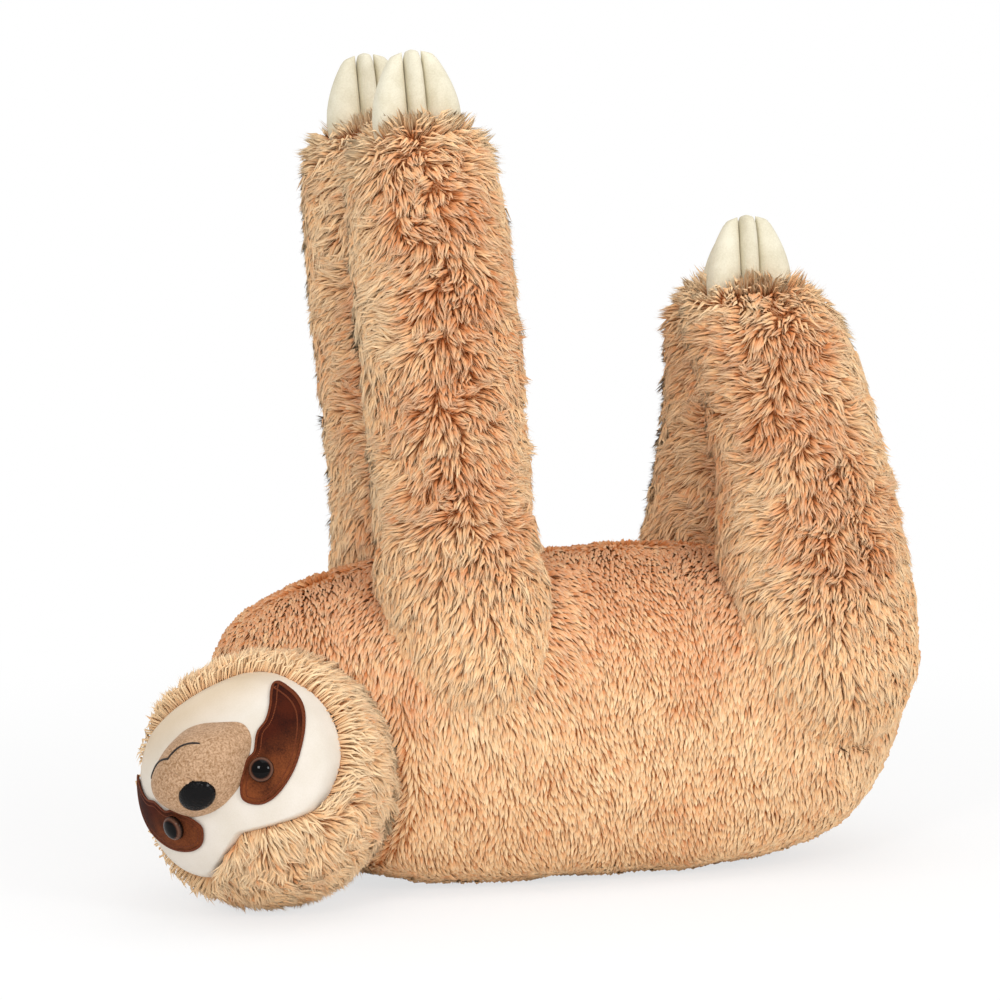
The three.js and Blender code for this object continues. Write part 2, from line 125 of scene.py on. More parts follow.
def mesh_piece(
    name: str, places: np.ndarray, faces: Sequence[Sequence[int]], material: bpy.types.Material
) -> Piece:
    """Makes a smooth-shaded mesh object at the origin.

    Args:
        name: the piece's name.
        places: vertices in millimetres, one row each.
        faces: vertex numbers of each face.
        material: its material.

    Returns:
        The new object.
    """
    mesh = bpy.data.meshes.new(name)
    mesh.from_pydata((places * METRE).tolist(), [], [list(map(int, f)) for f in faces])
    mesh.polygons.foreach_set("use_smooth", np.ones(len(mesh.polygons), bool))
    mesh.materials.append(material)
    piece = bpy.data.objects.new(name, mesh)
    bpy.context.scene.collection.objects.link(piece)
    return piece


def rows_of(items: Any, name: str, kind: type = np.float32) -> np.ndarray:
    """Reads a value of three numbers from each item of a mesh.

    Args:
        items: the mesh's vertices or triangles.
        name: the value's name.
        kind: the type of its numbers.

    Returns:
        The values, one row each.
    """
    flat = np.zeros(len(items) * 3, kind)
    items.foreach_get(name, flat)
    return flat.reshape(-1, 3)


def places_of(mesh: bpy.types.Mesh) -> np.ndarray:
    """Returns a mesh's vertices in millimetres."""
    return rows_of(mesh.vertices, "co").astype(float) / METRE


def triangles_of(mesh: bpy.types.Mesh) -> np.ndarray:
    """Returns the vertex numbers of a mesh's triangles."""
    mesh.calc_loop_triangles()
    return rows_of(mesh.loop_triangles, "vertices", np.int32)


def normals_of(mesh: bpy.types.Mesh) -> np.ndarray:
    """Returns the outward way at each of a mesh's vertices."""
    return rows_of(mesh.vertices, "normal").astype(float)


def put(mesh: bpy.types.Mesh, places: np.ndarray) -> None:
    """Puts a mesh's vertices at places in millimetres."""
    mesh.vertices.foreach_set("co", (places * METRE).astype(np.float32).ravel())
    mesh.update()


def mark(piece: Piece, name: str, values: np.ndarray) -> None:
    """Gives a piece a named attribute with a value at each vertex."""
    marks = piece.data.attributes.new(name, "FLOAT", "POINT")
    marks.data.foreach_set("value", values.astype(np.float32))


def alone(piece: Piece) -> None:
    """Selects one object and makes it active.

    Args:
        piece: the object.
    """
    bpy.ops.object.select_all(action="DESELECT")
    piece.select_set(True)
    bpy.context.view_layer.objects.active = piece


def apply_modifier(piece: Piece, kind: str, **settings: Any) -> None:
    """Adds a modifier with its settings and applies it.

    Args:
        piece: the object that it changes.
        kind: the modifier's type name.
        **settings: values by attribute name.
    """
    alone(piece)
    modifier = piece.modifiers.new(kind.lower(), kind)
    for key, value in settings.items():
        setattr(modifier, key, value)
    bpy.ops.object.modifier_apply(modifier=modifier.name)


def unit(ways: np.ndarray) -> np.ndarray:
    """Returns the rows at length 1."""
    return ways / np.maximum(np.linalg.norm(ways, axis=-1, keepdims=True), 1e-9)


def limited(moves: np.ndarray, most: float) -> np.ndarray:
    """Returns the moves, none longer than the most."""
    far = np.linalg.norm(moves, axis=1, keepdims=True)
    return moves * np.minimum(1, most / np.maximum(far, 1e-9))


def first_in_cells(at: np.ndarray) -> np.ndarray:
    """Returns the number of the first place in each cell of size 1."""
    return np.unique(np.floor(at).astype(int) @ CELL_KEY, return_index=True)[1]


@dataclass(frozen=True)
class Drift:
    """A smooth random field over space, about even from -1 to 1.

    wavelength is in millimetres.
    """

    wavelength: float
    seed: int
    waves: int = 14

    def at(self, places: np.ndarray) -> np.ndarray:
        """Works out the field at places.

        Args:
            places: places in millimetres, one row each.

        Returns:
            Its value at each.
        """
        rng = np.random.default_rng(self.seed)
        ways = unit(rng.normal(size=(self.waves, 3)))
        pitch = 2 * np.pi / self.wavelength * rng.uniform(0.6, 1.6, self.waves)
        phase = rng.uniform(0, 2 * np.pi, self.waves)
        value = np.sin(places @ (ways * pitch[:, None]).T + phase).sum(1)
        return value / math.sqrt(self.waves)


def loft(rings: np.ndarray, first: np.ndarray, last: np.ndarray) -> tuple[np.ndarray, list[list[int]]]:
    """A closed skin over rings of points with a pole at each end.

    Args:
        rings: points as (ring, place round it, 3), wound alike.
        first: the pole before the first ring.
        last: the pole after the last ring.

    Returns:
        The vertices and the faces.
    """
    count, around = rings.shape[:2]
    places = np.vstack([rings.reshape(-1, 3), first, last])
    faces: list[list[int]] = []
    for j in range(around):
        k = (j + 1) % around
        faces.append([count * around, k, j])
        for i in range(count - 1):
            low, high = i * around, (i + 1) * around
            faces.append([low + j, low + k, high + k, high + j])
        top = (count - 1) * around
        faces.append([count * around + 1, top + j, top + k])
    return places, faces


def closed_curve(points: Sequence[tuple[float, float]], steps: int) -> np.ndarray:
    """A smooth closed curve through points.

    Args:
        points: places across and up.
        steps: points on the curve between two given ones.

    Returns:
        The curve's points as rows.
    """
    knots = np.array(points, float)
    before, after, next_but_one = np.roll(knots, 1, 0), np.roll(knots, -1, 0), np.roll(knots, -2, 0)
    square = 2 * before - 5 * knots + 4 * after - next_but_one
    cube = 3 * knots - before - 3 * after + next_but_one
    runs = []
    for t in np.arange(steps) / steps:
        runs.append(0.5 * (2 * knots + (after - before) * t + square * t**2 + cube * t**3))
    return np.stack(runs, 1).reshape(-1, 2)


def own_noise(tree: Tree, size: float, **settings: float) -> bpy.types.Node:
    """Adds noise over a piece's own coordinates.

    Args:
        tree: the node tree that gets it.
        size: the size of its clouds in millimetres.
        **settings: its other inputs by name.

    Returns:
        The noise's node.
    """
    place = add_node(tree, "TexCoord").outputs["Object"]
    return add_node(tree, "TexNoise", {"Scale": 1 / (size * METRE), **settings}, {"Vector": place})


def camera_rays(tree: Tree) -> bpy.types.Node:
    """Finds the rays that come from the camera, also through clear pieces.

    Args:
        tree: the node tree that gets the nodes for it.

    Returns:
        A node that gives 1 for them.
    """
    path = add_node(tree, "LightPath").outputs
    feeds = {0: path["Is Camera Ray"], 1: path["Is Transmission Ray"]}
    return add_node(tree, "Math", {"operation": "MAXIMUM"}, feeds)


# finishes
@dataclass(frozen=True)
class Finish:
    """What a surface is made of. A finish makes its material once.

    relief is how deep its bumps seem in millimetres, strength their share, and sunk turns them in.
    """

    name: str = "plain"
    roughness: float = 0.5
    specular: float = 0.5
    sheen: float = 0.0
    strength: float = 0.0
    relief: float = 0.0
    sunk: bool = False

    def material(self) -> bpy.types.Material:
        """Makes the material at the first call.

        Returns:
            The finish's material.
        """
        found = bpy.data.materials.get(self.name)
        if found:
            return found
        made = bpy.data.materials.new(self.name)
        made.use_nodes = True
        made.node_tree.nodes.clear()
        add_node(made.node_tree, "OutputMaterial", links={"Surface": self.shader(made.node_tree)})
        return made

    def shader(self, tree: Tree) -> bpy.types.Node:
        """Builds the shader over the surface's colour and relief.

        Args:
            tree: the node tree that gets it.

        Returns:
            The shader.
        """
        colour, height = self.surface(tree)
        links = {"Base Color": colour}
        if height:
            depth = {"Strength": self.strength, "Distance": self.relief * METRE, "invert": self.sunk}
            links["Normal"] = add_node(tree, "Bump", depth, {"Height": height})
        gloss = {"Roughness": self.roughness, "Specular IOR Level": self.specular}
        if self.sheen:
            gloss |= {"Sheen Weight": self.sheen, "Sheen Roughness": 0.4}
        return add_node(tree, "BsdfPrincipled", gloss, links)

    def surface(self, tree: Tree) -> Colouring:
        """Builds what gives the colour and what gives the relief's height, if it has any."""
        raise NotImplementedError


@dataclass(frozen=True)
class LongPile(Finish):
    """Long-pile polyester fur, clumped by use: peach-tan fibres with painted shade at the roots,
    dark and reddish, among the locks, and pale tips, partly their own colour, partly painted highlight.

    The piece's own map says where on a fibre a point is: across is the tint, from dark to pale,
    which carries the fibres' own tones and also painted shade and light, with fine streaks for
    single fibres, and up is the way from root to tip.
    """

    name: str = "long_pile_polyester"
    roughness: float = 0.95
    specular: float = 0.0
    # Painted shade: the dark reddish colour that the fibres take towards their roots, among the locks
    root: str = "#ad5c2a"
    # Pale tips: partly the fibres' own colour and partly a painted highlight
    tip: str = "#ffebca"
    tint_ramp: tuple[tuple[float, str], ...] = (
        (0.0, "#d58754"), (0.3, "#e9a977"), (0.6, "#f3c28f"), (1.0, "#fdd9ab"),
    )

    def surface(self, tree: Tree) -> Colouring:
        """Builds the pile's colour from its map.

        Args:
            tree: the node tree that gets it.

        Returns:
            The colour, and no height.
        """
        place = add_node(tree, "UVMap", {"uv_map": PILE_MAP})
        parts = add_node(tree, "SeparateXYZ", links={0: place})
        ramp_colour = add_node(tree, "ValToRGB", {"stops": self.tint_ramp}, {0: parts})
        # Single fibres in a lock, about 0.3 mm apart
        scaled = add_node(tree, "Mapping", {"Scale": (420.0, 2.0, 1.0)}, {"Vector": place})
        noise = {"noise_dimensions": "2D", "Scale": 1.0, "Detail": 1.0}
        streak = add_node(tree, "TexNoise", noise, {"Vector": scaled})
        span = {"From Min": 0.3, "From Max": 0.7, "To Min": 0.8, "To Max": 1.12}
        shade = add_node(tree, "MapRange", span, {"Value": streak})
        multiply = {"data_type": "RGBA", "blend_type": "MULTIPLY", 0: 1.0}
        fibre = add_node(tree, "Mix", multiply, {6: ramp_colour, 7: shade})
        # Painted shade: the fibres go over to the dark reddish root colour towards their roots
        span = {"interpolation_type": "SMOOTHSTEP", "From Min": 0.02, "From Max": 0.52}
        depth = add_node(tree, "MapRange", span, {"Value": parts.outputs[1]})
        painted_root_shade = add_node(
            tree, "Mix", {"data_type": "RGBA", 6: linear(self.root)}, {0: depth, 7: fibre.outputs[2]}
        )
        # Pale tips towards the fibres' ends, partly their own colour and partly a painted highlight
        span = {"From Min": 0.5, "From Max": 1.0, "To Max": 0.5}
        end = add_node(tree, "MapRange", span, {"Value": parts.outputs[1]})
        tips_and_painted_highlight = add_node(
            tree, "Mix", {"data_type": "RGBA", 7: linear(self.tip)}, {0: end, 6: painted_root_shade.outputs[2]}
        )
        return tips_and_painted_highlight.outputs[2], None


@dataclass(frozen=True)
class ShortPlush(Finish):
    """Short-pile knitted plush, brushed: a soft nap whose clumps turn the light a little.

    clump is the size in millimetres of a tuft of nap, drawn as coarse as it needs to show, and
    patch the size of the areas that were stroked one way. Where the piece has a "shaded"
    attribute, the nap goes over to the shade colour by it, a painted shade.
    """

    roughness: float = 0.85
    specular: float = 0.15
    strength: float = 0.6
    light: str = "#f6ebd8"
    dark: str = "#e6d6bc"
    clump: float = 1.6
    patch: float = 22.0
    speckle: float = 0.5
    shade: Optional[str] = None

    def surface(self, tree: Tree) -> Colouring:
        """Builds the nap from the piece's own coordinates.

        Args:
            tree: the node tree that gets it.

        Returns:
            The colour and the height.
        """
        nap = own_noise(tree, self.clump, Detail=3.0, Roughness=0.6)
        stroked = own_noise(tree, self.patch, Detail=2.0)
        mix = {"data_type": "FLOAT", 0: self.speckle}
        both = add_node(tree, "Mix", mix, {2: stroked, 3: nap})
        stops = {"stops": ((0.36, self.dark), (0.62, self.light))}
        colour = add_node(tree, "ValToRGB", stops, {0: both}).outputs[0]
        # Painted shade: the nap goes over to the shade colour by the piece's shaded attribute
        if self.shade:
            painted_shade_share = add_node(tree, "Attribute", {"attribute_name": "shaded"}).outputs["Fac"]
            multiply = {"data_type": "RGBA", "blend_type": "MULTIPLY", 7: linear(self.shade)}
            colour = add_node(tree, "Mix", multiply, {0: painted_shade_share, 6: colour}).outputs[2]
        return colour, nap


@dataclass(frozen=True)
class SatinStitch(Finish):
    """Satin-stitched edging: shiny rayon threads side by side across the edge.

    The piece's "along" attribute counts millimetres along the edge, and a thread is drawn
    0.9 mm wide so that it shows.
    """

    name: str = "satin_stitch_rayon"
    roughness: float = 0.6
    specular: float = 0.12
    strength: float = 0.5
    relief: float = 0.3
    light: str = "#8a4526"
    dark: str = "#2e1309"
    thread: float = 0.9

    def surface(self, tree: Tree) -> Colouring:
        """Builds the threads from the millimetres along the edge.

        Args:
            tree: the node tree that gets it.

        Returns:
            The colour and the height.
        """
        run = add_node(tree, "Attribute", {"attribute_name": "along"}).outputs["Fac"]
        pitch = {"operation": "MULTIPLY", 1: 2 * math.pi / self.thread}
        turns = add_node(tree, "Math", pitch, {0: run})
        wave = add_node(tree, "Math", {"operation": "SINE"}, {0: turns})
        share = add_node(tree, "MapRange", {"From Min": -1.0, "From Max": 1.0}, {"Value": wave})
        # The threads' brown, with painted highlight on their crowns and painted shade in the grooves
        dyes = {"data_type": "RGBA", 6: linear(self.dark), 7: linear(self.light)}
        return add_node(tree, "Mix", dyes, {0: share}).outputs[2], wave


@dataclass(frozen=True)
class StitchThread(Finish):
    """Black polyester sewing thread, two plies twisted together."""

    name: str = "black_sewing_thread"
    roughness: float = 0.55
    specular: float = 0.4
    strength: float = 0.5
    relief: float = 0.2
    colour: str = "#15100e"
    light: str = "#2f2622"
    ply: float = 1.1

    def surface(self, tree: Tree) -> Colouring:
        """Builds the twisted thread.

        Args:
            tree: the node tree that gets it.

        Returns:
            The colour and the height.
        """
        place = add_node(tree, "TexCoord").outputs["Object"]
        bands = {"Scale": 0.3 / (self.ply * METRE), "Distortion": 1.0, "bands_direction": "DIAGONAL"}
        twist = add_node(tree, "TexWave", bands, {"Vector": place}).outputs[1]
        # Painted highlight: the plies are painted lighter on their crowns
        dyes = {"data_type": "RGBA", 6: linear(self.colour), 7: linear(self.light)}
        return add_node(tree, "Mix", dyes, {0: twist}).outputs[2], twist


@dataclass(frozen=True)
class MouldedNose(Finish):
    """Injection-moulded black polypropylene with a pebbled grain of about 1.3 mm, glossy."""

    name: str = "moulded_nose_plastic"
    roughness: float = 0.14
    specular: float = 0.13
    strength: float = 0.8
    relief: float = 0.5
    sunk: bool = True
    colour: str = "#040304"
    light: str = "#0d0c0d"
    pebble: float = 1.3

    def surface(self, tree: Tree) -> Colouring:
        """Builds the pebbled grain.

        Args:
            tree: the node tree that gets it.

        Returns:
            The colour and the height.
        """
        place = add_node(tree, "TexCoord").outputs["Object"]
        cells = {"Scale": 1 / (self.pebble * METRE), "feature": "SMOOTH_F1"}
        grain = add_node(tree, "TexVoronoi", cells, {"Vector": place})
        # Painted highlight: the pebbles' tops are painted a little lighter than the creases between them
        dyes = {"data_type": "RGBA", 6: linear(self.light), 7: linear(self.colour)}
        return add_node(tree, "Mix", dyes, {0: grain}).outputs[2], grain


@dataclass(frozen=True)
class EyeResin(Finish):
    """Cast acrylic safety eye: black pupil and a see-in brown ring under one clear dome.

    The piece's "from_middle" attribute is the share of the eye's radius.
    """

    name: str = "safety_eye_acrylic"
    roughness: float = 0.05
    specular: float = 0.13
    stops: tuple[tuple[float, str], ...] = (
        (0.0, "#030202"), (0.69, "#050303"), (0.75, "#351b11"), (0.86, "#6a4838"),
        (0.94, "#553a2e"), (1.0, "#1a100c"),
    )

    def surface(self, tree: Tree) -> Colouring:
        """Builds the ring and the pupil, a little cloudy.

        Args:
            tree: the node tree that gets it.

        Returns:
            The colour, and no height.
        """
        ring = add_node(tree, "Attribute", {"attribute_name": "from_middle"}).outputs["Fac"]
        cloud = own_noise(tree, 2.5, Detail=2.0)
        shifted = add_node(tree, "MapRange", {"To Min": -0.02, "To Max": 0.02}, {"Value": cloud})
        share = add_node(tree, "Math", {"operation": "ADD"}, {0: ring, 1: shifted})
        return add_node(tree, "ValToRGB", {"stops": self.stops}, {0: share}), None


@dataclass(frozen=True)
class NylonWasher(Finish):
    """Injection-moulded natural nylon, matt, with faint flow marks."""

    name: str = "nylon_lock_washer"
    light: str = "#eceae2"
    dark: str = "#d9d5c8"

    def surface(self, tree: Tree) -> Colouring:
        """Builds the moulding's flow marks.

        Args:
            tree: the node tree that gets it.

        Returns:
            The colour, and no height.
        """
        flow = own_noise(tree, 4.0, Distortion=1.5)
        stops = {"stops": ((0.35, self.dark), (0.65, self.light))}
        return add_node(tree, "ValToRGB", stops, {0: flow}), None


@dataclass(frozen=True)
class SweptFloor(Finish):
    """Matt white studio paper. Its own colour carries the white, and it keeps the shadow.

    Beyond shadow_full metres from the middle the shadow fades, and it ends at shadow_gone.
    """

    name: str = "studio_paper"
    strength: float = 0.05
    relief: float = 0.1
    colour: str = "#fbfbfb"
    kept_shadow: float = 0.3
    shadow_full: float = 0.35
    shadow_gone: float = 1.1

    def shader(self, tree: Tree) -> bpy.types.Node:
        """Builds paper that is near white to the camera and plain paper to all else.

        Args:
            tree: the node tree that gets it.

        Returns:
            The shader.
        """
        place = add_node(tree, "TexCoord").outputs["Object"]
        tooth = add_node(tree, "TexNoise", {"Scale": 900.0, "Detail": 2.0}, {"Vector": place})
        depth = {"Strength": self.strength, "Distance": self.relief * METRE}
        bump = add_node(tree, "Bump", depth, {"Height": tooth})
        paper = add_node(tree, "BsdfDiffuse", {"Color": linear(self.colour)}, {"Normal": bump})
        white = add_node(tree, "Emission", {"Color": (1, 1, 1, 1), "Strength": 1.0})
        apart = add_node(tree, "VectorMath", {"operation": "LENGTH"}, {0: place}).outputs["Value"]
        fade = {"From Min": self.shadow_full, "From Max": self.shadow_gone, "To Min": 1 - self.kept_shadow}
        fade["interpolation_type"] = "SMOOTHSTEP"
        plain = add_node(tree, "MapRange", fade, {"Value": apart})
        seen = add_node(tree, "Math", {"operation": "MULTIPLY"}, {0: camera_rays(tree), 1: plain})
        return add_node(tree, "MixShader", links={0: seen, 1: paper, 2: white})


class Fabrics(Enum):
    """The short fabrics of the face, paws and filling."""

    # The face's shade colour is painted shade towards the chin
    FACE = ShortPlush(
        "cream_velour", light="#e3dbd0", dark="#dad1c3", shade="#f5e8d6",
        clump=1.1, patch=30.0, relief=0.12, speckle=0.35,
    )
    MUZZLE = ShortPlush(
        "boucle_muzzle_plush", light="#cda989", dark="#977350",
        clump=1.6, patch=16.0, relief=1.2, speckle=0.85, sheen=0.1,
    )
    # The patch's shade colour is painted shade over its lower part
    PATCH = ShortPlush(
        "brown_velour", light="#7c4120", dark="#441f0e", shade="#96705a",
        clump=1.2, patch=18.0, relief=0.25, speckle=0.45,
    )
    CLAW = ShortPlush(
        "cream_fleece", light="#e1dbc6", dark="#d1c9b0", clump=1.3, patch=16.0, relief=0.2, speckle=0.45
    )
    FILLING = ShortPlush(
        "polyester_fibre_fill", light="#f8f6f0", dark="#dcd8cf",
        clump=3.5, patch=20.0, relief=1.5, speckle=0.6, sheen=0.2,
    )


# soft bodies
Grown = tuple[np.ndarray, np.ndarray, np.ndarray, np.ndarray]
# The share by which a lock's top and its edges are lit as the skin under it is, since light goes
# through its fibres
FIBRE_GLOW = 0.75
EDGE_GLOW = 0.5


@dataclass
class Pile:
    """How the pile grows on a skin.

    spacing is the distance between locks and fine that between the single strands among them;
    length and width are a lock's size; rise says how steeply it leaves the skin and stand how
    far its tip stays off it, both as shares of its length; tuft is the distance between the
    tufts that the locks gather in, and pull how far their tips come together; full is a lock's
    share of its width at 0, 0.3, 0.7 and 1 of its length. The defaults are those of the limbs.
    """

    spacing: float = 3.3
    fine: float = 2.05
    length: float = 18.0
    width: float = 2.6
    rise: float = 0.54
    stand: float = 0.42
    spread: float = 0.32
    tuft: float = 9.0
    pull: float = 0.55
    rings: tuple[float, ...] = (0.0, 0.45)
    fine_rings: tuple[float, ...] = (0.0,)
    seed: int = 31
    full: tuple[float, ...] = (0.75, 1.0, 0.72, 0.3)


@dataclass
class Growth:
    """Roots of the pile with what each lock does: its way, length, tint and more."""

    roots: np.ndarray
    outs: np.ndarray
    ways: np.ndarray
    lengths: np.ndarray
    tints: np.ndarray
    rises: np.ndarray
    stands: np.ndarray

    def ends(self) -> np.ndarray:
        """Bends each lock over by itself.

        Returns:
            Where the tips come to lie.
        """
        sag = np.array([0.0, 0.0, -0.05])
        return self.roots + self.lengths[:, None] * (
            self.outs * self.stands[:, None] + self.ways * 0.86 + sag
        )


@dataclass
class Tufts:
    """The tufts of a coat: where they stand, where their tips lie and how they are tinted."""

    tree: KDTree
    ends: np.ndarray
    tints: np.ndarray

    @classmethod
    def over(cls, growth: Growth, spacing: float, seed: int) -> "Tufts":
        """Picks tufts from a growth.

        Args:
            growth: the locks that the tufts are picked from.
            spacing: distance between tufts in millimetres.
            seed: the number that fixes the draw.

        Returns:
            The tufts.
        """
        first = first_in_cells(growth.roots / spacing)
        tree = KDTree(len(first))
        for number, root in enumerate(growth.roots[first]):
            tree.insert(root, number)
        tree.balance()
        return cls(tree, growth.ends()[first], np.random.default_rng(seed).normal(0, 0.06, len(first)))

    def gather(self, growth: Growth, pull: float, most: float = 7.0) -> np.ndarray:
        """Draws the tips of a growth towards those of its tufts, and tints it by tuft.

        Args:
            growth: the locks, whose tints are changed.
            pull: how far the tips come together, as a share.
            most: the most that a tip moves in millimetres.

        Returns:
            Where the tips lie.
        """
        ends = growth.ends()
        nearest = np.array([self.tree.find(root)[1] for root in growth.roots])
        growth.tints = (growth.tints + self.tints[nearest]).clip(*TINT_RANGE)
        return ends + limited((self.ends[nearest] - ends) * pull, most)


def spread_roots(
    piece: Piece, spacing: float, axis: Field, keep: Field, seed: int, cells: Optional[Field] = None
) -> tuple[np.ndarray, np.ndarray]:
    """Roots spread evenly over the outside of a skin.

    Args:
        piece: the skin.
        spacing: distance between roots in millimetres.
        axis: gives the point inside the skin that each place faces away from.
        keep: says for each place whether the pile grows there.
        seed: the number that fixes the draw.
        cells: gives the places in cells, as rows and columns, of which each gets one root near
            its middle.

    Returns:
        The roots and the outward ways at them.
    """
    rng = np.random.default_rng(seed)
    triangles = triangles_of(piece.data)
    normals = normals_of(piece.data)
    places = places_of(piece.data)
    a, b, c = (places[triangles[:, k]] for k in range(3))
    area = np.linalg.norm(np.cross(b - a, c - a), axis=1) / 2
    middle = (a + b + c) / 3
    faced = unit(np.cross(b - a, c - a)) * unit(middle - axis(middle))
    area = area * keep(middle) * (faced.sum(1) > 0.25)
    draws = int((9.0 if cells else 4.5) * area.sum() / spacing**2)
    chosen = rng.choice(len(area), draws, p=area / area.sum())
    u, v = rng.uniform(size=(2, draws))
    flip = u + v > 1
    u[flip], v[flip] = 1 - u[flip], 1 - v[flip]
    weights = np.stack([1 - u - v, u, v], 1)
    corners = triangles[chosen]
    roots = (places[corners] * weights[:, :, None]).sum(1)
    outs = unit((normals[corners] * weights[:, :, None]).sum(1))
    at = cells(roots) if cells else roots / (spacing * 0.93)
    if cells:
        order = np.argsort(((at - np.floor(at) - 0.5)[:, :2] ** 2).sum(1))
        roots, outs, at = roots[order], outs[order], at[order]
    first = first_in_cells(at)
    first = first[keep(roots[first])]
    return roots[first], outs[first]


def along_skin(ways: np.ndarray, outs: np.ndarray) -> np.ndarray:
    """Returns the ways laid flat on the skin, at length 1."""
    return unit(ways - (ways * outs).sum(1)[:, None] * outs)


def turned(ways: np.ndarray, outs: np.ndarray, angles: np.ndarray) -> np.ndarray:
    """Returns flat ways turned about the outward ones by angles in radians."""
    return ways * np.cos(angles)[:, None] + np.cross(outs, ways) * np.sin(angles)[:, None]


def lock_mesh(
    growth: Growth,
    ends: np.ndarray,
    width: np.ndarray,
    rings: Sequence[float],
    seed: int,
    start: float = 0.02,
    floor: float = 0.6,
    full: Sequence[float] = (0.75, 1.0, 0.72, 0.3),
) -> Grown:
    """Locks of pile as closed three-sided tapers that bend over from their roots.

    Args:
        growth: the roots and what each lock does.
        ends: where the tips lie.
        width: each lock's width in millimetres.
        rings: places of its rings as shares of its length, before its tip.
        seed: the number that fixes the draw.
        start: the map's height at the root, which shows more of the root's colour the lower it is.
        floor: the least height over the ground in millimetres.
        full: its share of the width at 0, 0.3, 0.7 and 1 of its length.

    Returns:
        The vertices, the triangles, each triangle corner's place on the map, and the ways that
        the vertices are lit from.
    """
    rng = np.random.default_rng(seed)
    count, steps = len(growth.roots), len(rings)
    long = growth.lengths[:, None]
    knee = growth.roots + long * (growth.outs * growth.rises[:, None] + growth.ways * 0.28)
    swirl = rng.uniform(-0.5, 0.5, count)
    layers, lit = [], []
    for s, share in zip(rings, np.interp(rings, (0.0, 0.3, 0.7, 1.0), full)):
        centre = (1 - s) ** 2 * growth.roots + 2 * s * (1 - s) * knee + s**2 * ends
        run = unit(2 * (1 - s) * (knee - growth.roots) + 2 * s * (ends - knee))
        side = unit(np.cross(run, growth.outs))
        top = np.cross(side, run)
        turn = (swirl * (0.4 + s))[:, None]
        side, top = side * np.cos(turn) + top * np.sin(turn), top * np.cos(turn) - side * np.sin(turn)
        half = (width * share / 2)[:, None]
        layers += [centre - side * half - top * half * 0.4, centre + side * half - top * half * 0.4]
        layers.append(centre + top * half * 0.9)
        for way, glow in ((-side, EDGE_GLOW), (side, EDGE_GLOW), (top, FIBRE_GLOW)):
            lit.append(unit(way * (1 - glow) + growth.outs * glow))
    places = np.stack([*layers, ends], 1)
    lit.append(growth.outs)
    places[:, :, 2] = np.maximum(places[:, :, 2], floor + rng.uniform(0, 0.8, (count, 1)))
    faces, levels, sides = [[0, 1, 2]], [[0, 0, 0]], [[0, 1, 2]]
    marks = np.array([*rings, 1.0])
    for i in range(steps - 1):
        for j in range(3):
            k = (j + 1) % 3
            a, b, c, d = 3 * i + j, 3 * i + k, 3 * i + 3 + k, 3 * i + 3 + j
            faces += [[a, d, c], [a, c, b]]
            levels += [[i, i + 1, i + 1], [i, i + 1, i]]
            sides += [[j, j, k], [j, k, k]]
    for j in range(3):
        k = (j + 1) % 3
        faces.append([3 * (steps - 1) + j, 3 * steps, 3 * (steps - 1) + k])
        levels.append([steps - 1, steps, steps - 1])
        sides.append([j, 3, k])
    across = np.array([0.0, 1.0, 0.5, 0.5])[np.array(sides)] * 0.011
    up = start + marks[np.array(levels)] * (0.98 - start)
    up[0] += (0.0, 0.0, 0.012)
    uv = np.stack(
        [growth.tints[:, None, None] + across[None], np.broadcast_to(up[None], (count, *up.shape))], 3
    )
    offset = (np.arange(count) * (3 * steps + 1))[:, None, None]
    triangles = (np.array(faces)[None] + offset).reshape(-1, 3)
    return places.reshape(-1, 3), triangles, uv.reshape(-1, 3, 2), np.stack(lit, 1).reshape(-1, 3)


def grown_piece(name: str, skin: Piece, grown: Sequence[Grown]) -> Piece:
    """One mesh of a skin and the pile on it.

    Args:
        name: the piece's name.
        skin: the backing cloth, which is used up.
        grown: each growth, as lock_mesh makes it.

    Returns:
        The coat.
    """
    rng = np.random.default_rng(5)
    triangles = triangles_of(skin.data)
    places = places_of(skin.data)
    tint = (0.45 + 0.15 * Drift(50, 3).at(places)).clip(0.02, 0.9) + rng.uniform(0, 0.03, len(places))
    cloth = np.stack([tint, 0.3 + rng.uniform(0, 0.1, len(places))], 1)[triangles]
    all_places, all_faces, all_uv, start = [places], [triangles], [cloth], len(places)
    all_lit = [normals_of(skin.data)]
    for more, faces, uv, lit in grown:
        all_places.append(more)
        all_faces.append(faces + start)
        all_uv.append(uv)
        all_lit.append(lit)
        start += len(more)
    verts, tris = np.vstack(all_places), np.vstack(all_faces)
    made = bpy.data.meshes.new(name)
    made.vertices.add(len(verts))
    made.vertices.foreach_set("co", (verts * METRE).astype(np.float32).ravel())
    made.loops.add(len(tris) * 3)
    made.loops.foreach_set("vertex_index", tris.astype(np.int32).ravel())
    made.polygons.add(len(tris))
    made.polygons.foreach_set("loop_start", np.arange(len(tris), dtype=np.int32) * 3)
    made.polygons.foreach_set("use_smooth", np.ones(len(tris), bool))
    layer = made.uv_layers.new(name=PILE_MAP)
    layer.data.foreach_set("uv", np.vstack(all_uv).astype(np.float32).ravel())
    made.update(calc_edges=True)
    made.normals_split_custom_set_from_vertices(np.vstack(all_lit).astype(np.float32))
    made.materials.append(LongPile().material())
    coat = bpy.data.objects.new(name, made)
    bpy.context.scene.collection.objects.link(coat)
    bpy.data.objects.remove(skin)
    LOG.info("%s: %d triangles", name, len(tris))
    return coat


